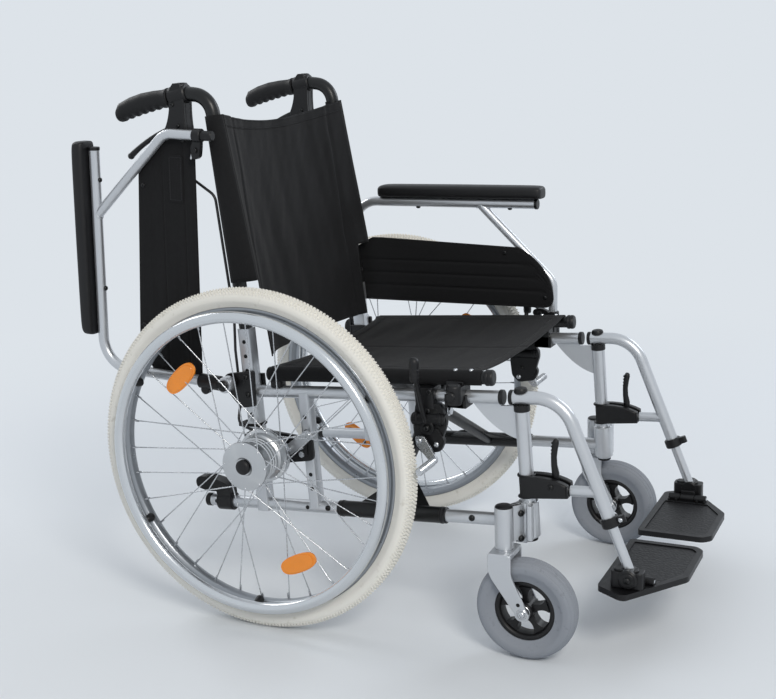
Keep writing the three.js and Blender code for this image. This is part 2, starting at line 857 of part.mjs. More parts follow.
function casterFork() {
  const half = casterWidth / 2 + forkGap;
  const crown = box(
    casterPlane - half - forkPlate,
    casterPlane + half + forkPlate,
    casterStemAt - 20,
    casterStemAt + 20,
    forkCrownFoot,
    forkCrownTop,
  );
  const leg = new THREE.Shape();
  leg.moveTo(casterStemAt + 20, forkCrownTop);
  leg.lineTo(casterStemAt - 20, forkCrownTop);
  leg.lineTo(casterStemAt - 20, forkCrownFoot - 26);
  leg.lineTo(casterAxle.y - 12, casterAxle.z - 3);
  leg.quadraticCurveTo(casterAxle.y - 11, casterAxle.z - 13, casterAxle.y, casterAxle.z - 13);
  leg.quadraticCurveTo(casterAxle.y + 12, casterAxle.z - 13, casterAxle.y + 13, casterAxle.z);
  leg.lineTo(casterStemAt + 14, forkCrownFoot - 34);
  leg.lineTo(casterStemAt + 20, forkCrownFoot - 20);
  leg.closePath();
  const bolt = pin(casterAxle, casterPlane - half - forkPlate - 5, casterPlane + half + forkPlate + 5, axleRadius);
  const nut = (x) => pin(casterAxle, x, x + 5, 9, 6);
  const stem = rod(
    new THREE.Vector3(casterPlane, casterStemAt, forkCrownTop - 1),
    new THREE.Vector3(casterPlane, casterStemAt, housingTop - 8),
    stemRadius,
  );
  const race = rod(
    new THREE.Vector3(casterPlane, casterStemAt, forkCrownTop - 1),
    new THREE.Vector3(casterPlane, casterStemAt, housingFoot - seatGap),
    stemRadius + 5,
  );
  return join(
    crown,
    slab(leg, casterPlane + half, casterPlane + half + forkPlate, 4),
    slab(leg, casterPlane - half - forkPlate, casterPlane - half, 4),
    bolt,
    nut(casterPlane + half + forkPlate),
    nut(casterPlane - half - forkPlate - 5),
    stem,
    race,
  );
}

// The caster housing: a barrel round the stem, joined by a web to a clamp round the front post.
function casterHousing() {
  const at = (z) => new THREE.Vector3(casterPlane, casterStemAt, z);
  const barrel = rod(at(housingFoot), at(housingTop), housingRadius, 14);
  const cap = rod(at(housingTop), at(housingTop + housingCap), housingRadius - 1, 14, housingRadius - 4);
  const bore = borer(at(housingFoot - 2), at(housingTop - 6), stemRadius + runningGap);
  const post = (w) => railPoint(framePlane, frontPostAt, w);
  const clampFoot = -24;
  const clampTop = 36;
  const clamp = rod(post(clampFoot), post(clampTop), frontPostRadius + 5, 12);
  const reach = new THREE.Vector2(casterPlane - framePlane, casterStemAt - post(0).y);
  const link = new THREE.BoxGeometry(reach.length(), 12, clampTop - clampFoot);
  link.rotateZ(reach.angle());
  link.translate(
    (casterPlane + framePlane) / 2,
    (casterStemAt + post(0).y) / 2,
    post((clampTop + clampFoot) / 2).z,
  );
  const postBore = borer(post(frontPostFoot - 4), post(120), frontPostRadius + seatGap, 12);
  const railBore = borer(
    railPoint(framePlane, 300, 0),
    railPoint(framePlane, frontPostAt, 0),
    railRadius + seatGap,
  );
  return cut(join(barrel, cap, clamp, solid(link)), bore, postBore, railBore);
}

// Legrests. The hanger hooks on a pin in the front post and swings outwards about it.
const legDown = (point, distance) =>
  new THREE.Vector3(
    point.x,
    point.y - distance * Math.sin(legAngle + framePitch),
    point.z - distance * Math.cos(legAngle + framePitch),
  );
const hangerKnee = railPoint(framePlane, hangerBendAt, upperRailRise);
const hangerEnd = legDown(hangerKnee, legLength);
const extensionEnd = legDown(hangerEnd, extensionOut);

function hanger() {
  const rear = railPoint(framePlane, hangerRear, upperRailRise);
  const bent = tube([rear, hangerKnee, hangerEnd], hangerRadius, hangerBend, 10, 18 * DEGREE);
  const bore = borer(
    legDown(hangerEnd, -extensionIn - 45),
    legDown(hangerEnd, 4),
    extensionRadius + runningGap,
  );
  const swivelPin = rod(
    railPoint(framePlane, frontPostAt, upperRailRise - hangerRadius - swivelPinLength),
    railPoint(framePlane, frontPostAt, upperRailRise + hangerRadius + 4),
    swivelPinRadius,
  );
  const button = rod(
    railPoint(framePlane, frontPostAt, upperRailRise + hangerRadius - 1),
    railPoint(framePlane, frontPostAt, upperRailRise + hangerRadius + 6),
    10,
    12,
    8,
  );
  const endCap = rod(rear, railPoint(framePlane, hangerRear + 5, upperRailRise), hangerRadius + 1.5);
  const collar = rod(legDown(hangerEnd, -collarWidth), legDown(hangerEnd, 2), collarRadius, 12);
  const peg = rod(
    railPoint(framePlane, frontPostAt - 6 + latchLength + seatGap, latchRise),
    railPoint(framePlane, legAxisAt(latchRise), latchRise),
    9,
  );
  return join(cut(join(bent, endCap, collar, peg), bore), swivelPin, button);
}

// Where the hanger's straight leg passes a height above the lower rail.
function legAxisAt(rise) {
  return hangerBendAt + (upperRailRise - rise) * Math.tan(legAngle);
}

// The latch housing turns round the front post, with the release lever in a slot on top.
const latchPivot = railPoint(0, frontPostAt + 50, latchRise + 20);

function latchHousing() {
  const outline = new THREE.Shape();
  const rear = frontPostAt - 8;
  const front = frontPostAt - 6 + latchLength;
  const foot = latchRise - latchBelow;
  const top = latchRise + latchAbove;
  const corner = (u, w) => {
    const p = railPoint(0, u, w);
    return [p.y, p.z];
  };
  outline.moveTo(...corner(rear, foot));
  outline.lineTo(...corner(front, foot + 4));
  outline.lineTo(...corner(front, latchRise + 12));
  outline.quadraticCurveTo(...corner(front - 30, top + 4), ...corner(rear, top));
  outline.closePath();
  const body = slab(outline, framePlane - latchWidth / 2, framePlane + latchWidth / 2, 5);
  const bore = borer(
    railPoint(framePlane, frontPostAt, foot - 10),
    railPoint(framePlane, frontPostAt, top + 10),
    frontPostRadius + runningGap,
    12,
  );
  const slot = frameBox(framePlane, frontPostAt + 52, latchRise + 28, 10 + 2 * runningGap, 36, 40);
  return cut(body, bore, slot);
}

function latchLever() {
  const corner = (u, w) => {
    const p = railPoint(0, frontPostAt + 50 + u, latchRise + 20 + w);
    return [p.y, p.z];
  };
  const shape = new THREE.Shape();
  shape.moveTo(...corner(-8, -6));
  shape.lineTo(...corner(8, -6));
  shape.lineTo(...corner(8, 14));
  shape.quadraticCurveTo(...corner(3, 30), ...corner(9, latchLeverRise + 6));
  shape.quadraticCurveTo(...corner(9, latchLeverRise + 14), ...corner(2, latchLeverRise + 13));
  shape.quadraticCurveTo(...corner(-6, 34), ...corner(-8, 14));
  shape.closePath();
  return slab(shape, framePlane - 5, framePlane + 5, 4);
}

// The extension slides in the hanger. Its foot carries the pivot hub and the middle knuckle of the footplate's hinge.
const plateHinge = { y: extensionEnd.y, z: plateTop + knuckleRise };

function legExtension() {
  const stem = rod(legDown(hangerEnd, -extensionIn), legDown(hangerEnd, extensionOut), extensionRadius);
  const hubCentre = { y: extensionEnd.y, z: plateTop + 17 };
  const hub = pin(hubCentre, framePlane - 10, framePlane + 20, 16);
  const arm = box(
    plateHingePlane,
    framePlane,
    plateHinge.y - knuckleLength / 2,
    plateHinge.y + knuckleLength / 2,
    plateTop + runningGap,
    plateTop + 18,
  );
  const block = box(
    plateHingePlane + knuckleRadius + 1.5,
    framePlane + 16,
    plateHinge.y - 24,
    plateHinge.y + 30,
    plateTop + runningGap,
    plateTop + 36,
  );
  return join(stem, hub, arm, block, hingeKnuckle(-knuckleLength / 2, knuckleLength / 2));
}

// A knuckle of the footplate's hinge, between two distances from its middle.
function hingeKnuckle(from, to) {
  return rod(
    new THREE.Vector3(plateHingePlane, plateHinge.y + from, plateHinge.z),
    new THREE.Vector3(plateHingePlane, plateHinge.y + to, plateHinge.z),
    knuckleRadius,
  );
}

// The footplate, with a raised edge, flips up about the two outer knuckles.
function footplate() {
  const outline = [
    [plateInner, plateRear + 4],
    [plateInner + 6, plateRear],
    [plateOuter - 26, plateRear],
    [plateOuter, plateRear - 42],
    [plateOuter, plateRear - 52],
    [plateOuter - 108, plateFront],
    [plateInner + 20, plateFront],
    [plateInner, plateFront + 14],
  ];
  const plate = deck(outline, plateTop - plateThickness, plateTop);
  const recess = deck(
    [
      [plateInner + 10, plateRear - 8],
      [plateHingePlane - 14, plateRear - 8],
      [plateHingePlane - 14, plateFront + 34],
      [plateOuter - 118, plateFront + 9],
      [plateInner + 22, plateFront + 9],
      [plateInner + 10, plateFront + 20],
    ],
    plateTop - 2.5,
    plateTop + 2,
  );
  const gap = knuckleLength / 2 + seatGap;
  const clearance = knuckleRadius + 1.5;
  const notch = box(
    plateHingePlane - clearance,
    plateHingePlane + clearance,
    plateHinge.y - gap,
    plateHinge.y + gap,
    plateTop - plateThickness - 4,
    plateTop + 4,
  );
  return join(cut(plate, recess, notch), hingeKnuckle(gap, gap + 22), hingeKnuckle(-gap - 22, -gap));
}

// Armrests, drawn with the armrest down.
function armrestTube() {
  const at = (y, z) => new THREE.Vector3(armPlane, y, z);
  const main = tube(
    [at(armPivot.y, armPivot.z), at(armRearTop, armTopHeight), at(armTubeFront, armTopHeight - 2)],
    armTubeRadius,
    armBend,
  );
  const diagonal = tube(
    [
      at(armDiagonalTop, armTopHeight - 3),
      at(armDiagonalKnee.y, armDiagonalKnee.z),
      at(armDiagonalKnee.y + 1, armPlugFoot + 26),
    ],
    armTubeRadius - 1,
    34,
  );
  const plug = rod(
    at(armDiagonalKnee.y + 1, armPlugFoot + 30),
    at(armDiagonalKnee.y + 1, armPlugFoot),
    armTubeRadius - 3,
  );
  const eye = pin(armPivot, armPlane - armTubeRadius, armPlane + armTubeRadius, 14, 14);
  const eyeBore = pin(armPivot, armPlane - 20, armPlane + 20, armPinRadius + 2 * runningGap, 12);
  const plugFront = rod(
    at(armTubeFront + 1, armTopHeight - 2),
    at(armTubeFront - 3, armTopHeight - 2),
    armTubeRadius + 1,
  );
  return cut(join(main, diagonal, plug, eye, plugFront), eyeBore);
}

// The pad has a crowned top and rounded ends.
function armPad() {
  const half = padWidth / 2;
  const foot = armTopHeight + armTubeRadius + seatGap;
  const section = [
    [-half, 3],
    [-half + 3, 0],
    [half - 3, 0],
    [half, 3],
    [half, padHeight - 12],
    [half - 5, padHeight - 4],
    [half - 14, padHeight],
    [-half + 14, padHeight],
    [-half + 5, padHeight - 4],
    [-half, padHeight - 12],
  ];
  const stations = [0, 3, 10, 22, padLength - 22, padLength - 10, padLength - 3, padLength];
  const inset = [9, 4.5, 1.5, 0, 0, 1.5, 4.5, 9];
  const points = [];
  stations.forEach((distance, k) => {
    const shrinkX = 1 - inset[k] / half;
    const shrinkZ = 1 - inset[k] / padHeight;
    section.forEach(([x, z]) => {
      points.push(armPlane + padOffset + x * shrinkX, padFront + distance, foot + z * shrinkZ);
    });
  });
  return solid(loft(points, section.length, stations.length));
}

// Rows of section points joined into a closed form with flat ends.
function loft(coordinates, across, along) {
  const faces = [];
  for (let k = 0; k < along - 1; k += 1) {
    for (let i = 0; i < across; i += 1) {
      const j = (i + 1) % across;
      const [a, b] = [k * across + i, k * across + j];
      const [c, d] = [a + across, b + across];
      faces.push(a, c, b, b, c, d);
    }
  }
  const last = (along - 1) * across;
  for (let i = 1; i < across - 1; i += 1) {
    faces.push(0, i, i + 1);
    faces.push(last, last + i + 1, last + i);
  }
  const geometry = new THREE.BufferGeometry();
  geometry.setAttribute("position", new THREE.Float32BufferAttribute(coordinates, 3));
  geometry.setIndex(faces);
  return geometry;
}

const panelInner = armPlane - armTubeRadius * Math.cos(18 * DEGREE) - seatGap - panelThickness;

// The side panel, with lengthwise grooves and a front corner that follows the diagonal tube.
function sidePanel() {
  const rise = (share) => panelFoot + share * (panelTop - panelFoot);
  const knee = armDiagonalKnee.y;
  const shape = new THREE.Shape();
  shape.moveTo(armPivot.y + 5, rise(0.02));
  shape.lineTo(armPivot.y + 8, rise(0.72));
  shape.lineTo(armPivot.y - 67, rise(1.03));
  shape.lineTo(armPivot.y - 75, rise(1.05));
  shape.lineTo(armDiagonalTop - 66, panelTop);
  shape.quadraticCurveTo(knee + 23, rise(0.78), knee - 1, rise(0.34));
  shape.lineTo(knee - 3, rise(0.08));
  shape.quadraticCurveTo(knee - 1, panelFoot, knee + 15, panelFoot);
  shape.closePath();
  const panel = slab(shape, panelInner, panelInner + panelThickness, 5);
  const grooves = panelGrooves.map((share) => {
    const foot = rise(share);
    return box(panelInner - 1, panelInner + 1.6, knee + 25, armPivot.y - 17, foot, foot + 2.5);
  });
  return cut(panel, ...grooves);
}

// The bracket on the rear post that the armrest flips about.
function armrestBracket() {
  const outer = framePlane + rearPostWidth / 2 + seatGap;
  const post = railPoint(0, rearPostAt, 222);
  const shape = new THREE.Shape();
  shape.moveTo(post.y - 15, post.z - 34);
  shape.lineTo(post.y + 14, post.z - 40);
  shape.quadraticCurveTo(armPivot.y + 8, armPivot.z - 24, armPivot.y + 17, armPivot.z - 6);
  shape.quadraticCurveTo(armPivot.y + 18, armPivot.z + 16, armPivot.y, armPivot.z + 16);
  shape.lineTo(post.y - 15, post.z + 30);
  shape.closePath();
  const plate = slab(shape, outer, outer + bracketThickness, 5);
  const rear = outer + bracketThickness;
  const pivotPin = pin(armPivot, rear - 1, armPlane + armTubeRadius + 2, armPinRadius, 10);
  const head = pin(armPivot, armPlane + armTubeRadius + runningGap, armPlane + armTubeRadius + 5, 10, 12);
  const collar = pin(armPivot, rear - 1, armPlane - armTubeRadius - runningGap, 12, 12);
  const clip = cut(
    frameBox(framePlane, rearPostAt, 222, rearPostWidth + 12, rearPostDepth + 12, 34),
    frameBox(framePlane, rearPostAt, 222, rearPostWidth + 2 * seatGap, rearPostDepth + 2 * seatGap, 60),
    frameBox(framePlane, rearPostAt + 46, 222, 80, 80, 60),
  );
  return join(plate, pivotPin, head, collar, clip);
}

// The receiver on the upper rail takes the armrest's plug, and its cradle carries the seat rail.
function armrestReceiver() {
  const place = (-armDiagonalKnee.y - 8) / Math.cos(framePitch) + 12;
  const base = railPoint(0, place, upperRailRise);
  const fromY = base.y - 15;
  const toY = base.y + 15;
  const plugY = armDiagonalKnee.y + 1;
  const block = box(framePlane - 15, framePlane + 18, fromY, toY, base.z - 16, base.z + 29);
  const socket = box(framePlane + 12, armPlane + 12, plugY - 13, plugY + 13, armPlugFoot - 12, armPlugFoot + 21);
  const plugBore = borer(
    new THREE.Vector3(armPlane, plugY, armPlugFoot - seatGap),
    new THREE.Vector3(armPlane, plugY, armPlugFoot + 40),
    armTubeRadius - 3 + plugGap,
  );
  const railBore = borer(
    railPoint(framePlane, place - 60, upperRailRise),
    railPoint(framePlane, place + 60, upperRailRise),
    railRadius + seatGap,
  );
  const cradle = borer(
    railPoint(framePlane, place - 60, seatRailRise),
    railPoint(framePlane, place + 60, seatRailRise),
    seatRailRadius + seatGap,
  );
  const lift = frameBox(framePlane, place, seatRailRise + 20, 2 * (seatRailRadius + 2 * seatGap), 80, 40);
  return cut(join(block, socket), plugBore, railBore, cradle, lift);
}

// Parking brake: a clamp and body on the upper rail, a lever with a knob and a shoe before the tyre.
const shoeRadiusFromAxle = wheelRadius + shoeRadius + shoeGap;
const shoeCentre = {
  y: axle.y - shoeRadiusFromAxle * Math.cos(shoeLift),
  z: axle.z + shoeRadiusFromAxle * Math.sin(shoeLift),
};

function parkingBrakeBody() {
  const place = 6 - brakePivot.y;
  const clamp = frameBox(framePlane + 4, place, upperRailRise, 38, 34, 36);
  const railBore = borer(
    railPoint(framePlane, place - 60, upperRailRise),
    railPoint(framePlane, place + 60, upperRailRise),
    railRadius + seatGap,
  );
  const inner = framePlane + 13;
  const shape = new THREE.Shape();
  const at = (y, z) => [brakePivot.y + y, brakePivot.z + z];
  shape.moveTo(...at(22, 40));
  shape.lineTo(...at(-22, 42));
  shape.lineTo(...at(-34, 12));
  shape.lineTo(...at(-22, -28));
  shape.lineTo(...at(4, -46));
  shape.lineTo(...at(24, -34));
  shape.lineTo(...at(28, 0));
  shape.closePath();
  const plate = slab(shape, inner, inner + 9, 4);
  const pivotPin = pin(brakePivot, inner + 8, inner + 17, 5);
  const shoePin = pin(shoePivot, inner + 8, inner + 26, 5);
  return join(cut(join(clamp, plate), railBore), pivotPin, shoePin);
}

function parkingBrakeLever() {
  const inner = framePlane + 22 + runningGap;
  const hub = cut(
    pin(brakePivot, inner, inner + 6, 12),
    pin(brakePivot, inner - 4, inner + 10, 5 + runningGap),
  );
  const knee = new THREE.Vector3(inner + 14, brakePivot.y + 6, brakePivot.z + 42);
  const bar = tube(
    [
      new THREE.Vector3(inner + 3, brakePivot.y + 3, brakePivot.z + 9),
      knee,
      new THREE.Vector3(brakeLeverPlane, brakeLeverTop.y, brakeLeverTop.z - 20),
    ],
    4,
    20,
    8,
  );
  const grip = rod(
    new THREE.Vector3(brakeLeverPlane, brakeLeverTop.y, brakeLeverTop.z - 34),
    new THREE.Vector3(brakeLeverPlane, brakeLeverTop.y, brakeLeverTop.z + 4),
    7.5,
    10,
    6.5,
  );
  return join(hub, bar, grip);
}

function parkingBrakeShoe() {
  const inner = framePlane + 32 + runningGap;
  const arm = slab(
    [
      [shoePivot.y + 8, shoePivot.z + 7],
      [shoePivot.y - 8, shoePivot.z + 8],
      [shoeCentre.y - 7, shoeCentre.z + 2],
      [shoeCentre.y - 3, shoeCentre.z - 7],
      [shoeCentre.y + 6, shoeCentre.z - 3],
      [shoePivot.y + 6, shoePivot.z - 8],
    ],
    inner,
    inner + 6,
  );
  const bore = pin(shoePivot, inner - 6, inner + 10, 5 + runningGap);
  const roller = pin(shoeCentre, inner + 1, wheelPlane + tyreWidth / 2 - 4, shoeRadius, 12);
  return join(cut(arm, bore), roller);
}

// Cross brace. Each brace turns on one lower rail and carries the seat rail of the other side.
const braceRise = seatRailRise;

function crossBrace(offset) {
  const line = (x, w) => railPoint(x, braceMiddle + offset, w);
  const sleeve = rod(
    railPoint(framePlane, braceMiddle - sleeveLength / 2, 0),
    railPoint(framePlane, braceMiddle + sleeveLength / 2, 0),
    sleeveRadius,
    12,
  );
  const seatRail = rod(
    railPoint(-framePlane, seatRailRear, seatRailRise),
    railPoint(-framePlane, seatRailFront, seatRailRise),
    seatRailRadius,
  );
  const endCap = rod(
    railPoint(-framePlane, seatRailFront - 8, seatRailRise),
    railPoint(-framePlane, seatRailFront + 6, seatRailRise),
    seatRailRadius + 2.5,
  );
  const diagonal = rod(line(framePlane, 0), line(-framePlane, seatRailRise), braceTubeRadius);
  const lowerWeb = braceWeb(framePlane, 0, -1);
  const upperWeb = braceWeb(-framePlane, seatRailRise, 1);
  const bore = borer(
    railPoint(framePlane, braceMiddle - sleeveLength, 0),
    railPoint(framePlane, braceMiddle + sleeveLength, 0),
    railRadius + runningGap,
    12,
  );
  const boltBore = borer(
    railPoint(0, braceMiddle - 60, braceRise / 2),
    railPoint(0, braceMiddle + 60, braceRise / 2),
    pivotBoltRadius + runningGap,
  );
  return cut(join(sleeve, seatRail, endCap, diagonal, lowerWeb, upperWeb), bore, boltBore);
}

// A triangular web that stiffens the foot or head of a brace along its rail.
function braceWeb(x, w, towards) {
  const along = railPoint(0, 1, 0).sub(railPoint(0, 0, 0));
  const lean = railPoint(-2 * framePlane, 0, braceRise).sub(railPoint(0, 0, 0)).normalize();
  const inwards = lean.multiplyScalar(-towards);
  const geometry = new THREE.ExtrudeGeometry(
    new THREE.Shape([
      new THREE.Vector2(-webHalfLength, 0),
      new THREE.Vector2(webHalfLength, 0),
      new THREE.Vector2(braceOffset + 8, webReach),
      new THREE.Vector2(-braceOffset - 8, webReach),
    ]),
    { depth: webThickness, bevelEnabled: false },
  );
  geometry.translate(0, 0, -webThickness / 2);
  geometry.applyMatrix4(
    new THREE.Matrix4().makeBasis(along, inwards, along.clone().cross(inwards)),
  );
  const place = railPoint(x, braceMiddle, w);
  geometry.translate(place.x, place.y, place.z);
  return solid(geometry);
}

function pivotBolt() {
  const at = (u) => railPoint(0, u, braceRise / 2);
  const reach = braceOffset + braceTubeRadius + seatGap;
  return join(
    rod(at(braceMiddle - reach - 6), at(braceMiddle + reach + 6), pivotBoltRadius),
    rod(at(braceMiddle - reach - 6), at(braceMiddle - reach), 9, 6),
    rod(at(braceMiddle + reach), at(braceMiddle + reach + 6), 9, 6),
  );
}

// The seat sling wraps over both seat rails and sags between them, with a few shallow folds.
function seatSling() {
  const rows = [];
  const wrapStep = 30 * DEGREE;
  const wrap = (seatRailRadius + seatGap + slingThickness / 2) / Math.cos(wrapStep / 2);
  const stations = 8;
  const span = 12;
  for (let i = 0; i <= stations; i += 1) {
    const u = seatRailRear + 6 + ((seatRailFront - seatRailRear - 20) * i) / stations;
    const row = [];
    for (const side of [-1, 1]) {
      const arc = [0, 1, 2, 3].map((step) => step * wrapStep);
      const list = side < 0 ? arc : [...arc].reverse();
      const edge = list.map((a) =>
        railPoint(side * (framePlane + wrap * Math.cos(a)), u, seatRailRise + wrap * Math.sin(a)),
      );
      if (side < 0) {
        row.push(...edge);
        for (let k = 1; k < span; k += 1) {
          const t = k / span;
          const bow = Math.sin(Math.PI * t);
          const fold = 1.6 * Math.sin(5 * Math.PI * t + i * 0.9) * bow;
          const x = -framePlane + 2 * framePlane * t;
          row.push(railPoint(x, u, seatRailRise + wrap - seatSag * bow ** 0.7 + fold));
        }
      } else {
        row.push(...edge);
      }
    }
    rows.push(row);
  }
  return sheet(rows, slingThickness);
}

// The back sling is sleeved round the back tubes and hollows backwards between them. Below the sleeves a
// narrower flap hangs down behind the seat.
function backSling() {
  const rows = [];
  const wrapStep = 45 * DEGREE;
  const wrap = (backTubeRadius + seatGap + slingThickness / 2) / Math.cos(wrapStep / 2);
  const stations = 8;
  const span = 9;
  const between = (x, w, i) => {
    const t = (framePlane - x) / (2 * framePlane);
    const bow = Math.sin(Math.PI * t);
    const fold = 2 * Math.sin(4 * Math.PI * t + i * 0.7) * bow;
    const depth = backSag * bow * (0.75 + 0.25 * Math.cos((i / stations - 0.4) * 2));
    return backPoint(x, w, -wrap + depth + fold);
  };
  for (let i = 0; i <= stations; i += 1) {
    const w = backFoot + ((backTop - backFoot) * i) / stations;
    const row = [];
    const arc = [4, 3, 2, 1, 0, -1, -2].map((step) => step * wrapStep - 5 * DEGREE);
    const round = (side, angle) =>
      backPoint(side * (framePlane + wrap * Math.cos(angle)), w, wrap * Math.sin(angle));
    const left = arc.map((angle) => round(1, angle));
    const right = [...arc].reverse().map((angle) => round(-1, angle));
    row.push(...left);
    for (let k = 1; k < span; k += 1) row.push(between(framePlane - (2 * framePlane * k) / span, w, i));
    row.push(...right);
    rows.push(row);
  }
  const flap = [];
  for (let i = 0; i < 4; i += 1) {
    const w = flapFoot + ((backFoot + 5 - flapFoot) * i) / 3;
    const row = [];
    for (let k = 0; k < span; k += 1) row.push(between(flapWidth / 2 - (flapWidth * k) / (span - 1), w, 0));
    flap.push(row);
  }
  return join(sheet(rows, slingThickness), sheet(flap, slingThickness));
}

// The tipping pedal is clamped round the rear end of the right lower rail.
function tippingPedal() {
  const place = lowerRailRear + 42;
  const clamp = rod(
    railPoint(framePlane, place - 16, 0),
    railPoint(framePlane, place + 16, 0),
    railRadius + 6,
    12,
  );
  const bore = borer(
    railPoint(framePlane, place - 30, 0),
    railPoint(framePlane, place + 30, 0),
    railRadius + seatGap,
  );
  const at = (u, w) => {
    const p = railPoint(0, place + u, w);
    return [p.y, p.z];
  };
  const shape = new THREE.Shape();
  shape.moveTo(...at(14, 6));
  shape.lineTo(...at(14, 30));
  shape.quadraticCurveTo(...at(0, 44), ...at(-46, 48));
  shape.quadraticCurveTo(...at(-62, 44), ...at(-56, 28));
  shape.quadraticCurveTo(...at(-40, 18), ...at(-16, 20));
  shape.lineTo(...at(-12, 6));
  shape.closePath();
  return cut(join(clamp, slab(shape, framePlane - 12, framePlane + 12, 5)), bore);
}

const frameParts = [
  ["side_frame", "silver", sideFrame],
  ["back_tube", "blackSteel", backTube],
  ["push_grip", "black", pushGrip],
  ["drum_brake_lever", "black", attendantLever],
  ["brake_cable", "black", brakeCable],
  ["armrest_bracket", "black", armrestBracket],
  ["armrest_receiver", "black", armrestReceiver],
  ["rear_tyre", "cream", rearTyre],
  ["rear_rim", "silver", rearRim],
  ["handrim", "polished", handrim],
  ["wheel_hub", "polished", wheelHub],
  ["axle_bracket", "black", axleBracket],
  ["caster_tyre", "gray", casterTyre],
  ["caster_rim", "black", casterRim],
  ["caster_fork", "silver", casterFork],
  ["caster_housing", "silver", casterHousing],
  ["hanger", "silver", hanger],
  ["latch_housing", "black", latchHousing],
  ["latch_lever", "black", latchLever],
  ["leg_extension", "silver", legExtension],
  ["footplate", "black", footplate],
  ["parking_brake_body", "black", parkingBrakeBody],
  ["parking_brake_lever", "black", parkingBrakeLever],
  ["parking_brake_shoe", "silver", parkingBrakeShoe],
];
const armrestParts = [
  ["armrest_tube", "silver", armrestTube],
  ["arm_pad", "pad", armPad],
  ["side_panel", "black", sidePanel],
];

const chair = new THREE.Group();
const sides = { left: new THREE.Group(), right: new THREE.Group() };
sides.right.scale.x = -1;
const armrests = {};
for (const [side, group] of Object.entries(sides)) {
  chair.add(group);
  armrests[side] = new THREE.Group();
  armrests[side].position.set(0, armPivot.y, armPivot.z);
  group.add(armrests[side]);
}
armrests.right.rotation.x = -armFlip;

for (const [name, finish, make] of frameParts) {
  const geometry = geometryOf(make());
  for (const [side, group] of Object.entries(sides)) addMesh(group, `${side}_${name}`, finish, geometry);
}
for (const [name, finish, make] of armrestParts) {
  const geometry = geometryOf(make());
  geometry.translate(0, -armPivot.y, -armPivot.z);
  for (const [side, group] of Object.entries(armrests)) addMesh(group, `${side}_${name}`, finish, geometry);
}

addMesh(chair, "cross_brace_left", "blackSteel", geometryOf(crossBrace(braceOffset)));
addMesh(sides.right, "cross_brace_right", "blackSteel", geometryOf(crossBrace(-braceOffset)));
addMesh(chair, "brace_pivot_bolt", "silver", geometryOf(pivotBolt()));
addMesh(chair, "seat_sling", "cloth", geometryOf(seatSling()));
addMesh(chair, "back_sling", "cloth", geometryOf(backSling()));
addMesh(sides.right, "tipping_pedal", "black", geometryOf(tippingPedal()));

// The origin is on the floor at the middle of the whole length and width.
const bounds = new THREE.Box3().setFromObject(chair, true);
chair.position.set(0, -(bounds.min.y + bounds.max.y) / 2, -bounds.min.z);

const wheelchair = new THREE.Group();
wheelchair.add(chair);
export default wheelchair;
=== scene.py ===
import json
import math

import bmesh
import bpy
from mathutils import Matrix, Vector, noise


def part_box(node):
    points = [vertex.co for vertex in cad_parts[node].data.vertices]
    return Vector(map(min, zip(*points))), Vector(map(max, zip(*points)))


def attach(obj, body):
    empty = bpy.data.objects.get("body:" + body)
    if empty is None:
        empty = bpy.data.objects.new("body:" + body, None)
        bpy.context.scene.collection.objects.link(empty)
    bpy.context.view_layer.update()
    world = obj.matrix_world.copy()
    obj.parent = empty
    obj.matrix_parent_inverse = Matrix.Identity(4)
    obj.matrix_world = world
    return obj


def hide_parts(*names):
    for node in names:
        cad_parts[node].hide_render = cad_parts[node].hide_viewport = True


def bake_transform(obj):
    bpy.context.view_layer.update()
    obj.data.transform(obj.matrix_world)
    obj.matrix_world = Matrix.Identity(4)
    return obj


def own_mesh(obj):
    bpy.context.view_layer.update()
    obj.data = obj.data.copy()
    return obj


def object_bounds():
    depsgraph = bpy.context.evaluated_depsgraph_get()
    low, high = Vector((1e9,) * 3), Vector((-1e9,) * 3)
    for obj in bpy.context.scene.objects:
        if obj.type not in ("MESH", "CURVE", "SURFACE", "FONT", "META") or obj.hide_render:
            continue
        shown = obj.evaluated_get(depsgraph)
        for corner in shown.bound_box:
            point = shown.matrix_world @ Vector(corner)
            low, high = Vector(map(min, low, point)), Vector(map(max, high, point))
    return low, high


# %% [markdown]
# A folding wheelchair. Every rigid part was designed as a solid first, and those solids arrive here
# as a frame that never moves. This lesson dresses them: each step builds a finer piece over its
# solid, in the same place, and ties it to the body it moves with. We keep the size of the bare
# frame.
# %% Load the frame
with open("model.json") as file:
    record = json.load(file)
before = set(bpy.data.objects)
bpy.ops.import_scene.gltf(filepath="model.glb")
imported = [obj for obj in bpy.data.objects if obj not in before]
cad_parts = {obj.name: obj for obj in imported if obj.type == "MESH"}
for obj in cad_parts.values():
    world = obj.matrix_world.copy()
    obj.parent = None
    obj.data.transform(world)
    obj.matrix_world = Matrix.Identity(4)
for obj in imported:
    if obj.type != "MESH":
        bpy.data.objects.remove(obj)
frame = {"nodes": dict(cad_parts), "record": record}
cad_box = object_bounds()
bpy.context.scene.view_settings.view_transform = "Standard"
print("frame", [round(v, 3) for corner in cad_box for v in corner])

# %% [markdown]
# All sizes below are millimetres measured from the rear axle: x to the chair's left, y to its back,
# z up from the floor. The frame uses metres and another origin, so one small function turns a point
# into the frame's own place. Each side is drawn once, as the left one. The right side is its mirror
# image, and its armrest is folded back about a pivot.
# %% From millimetres to the frame
tyre_low, tyre_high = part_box("left_rear_tyre")
axle_y = (tyre_low.y + tyre_high.y) / 2
ARM_PIVOT = (79, 420)
ARM_FLIP = math.radians(87.5)
SIDES = ("left", "right")


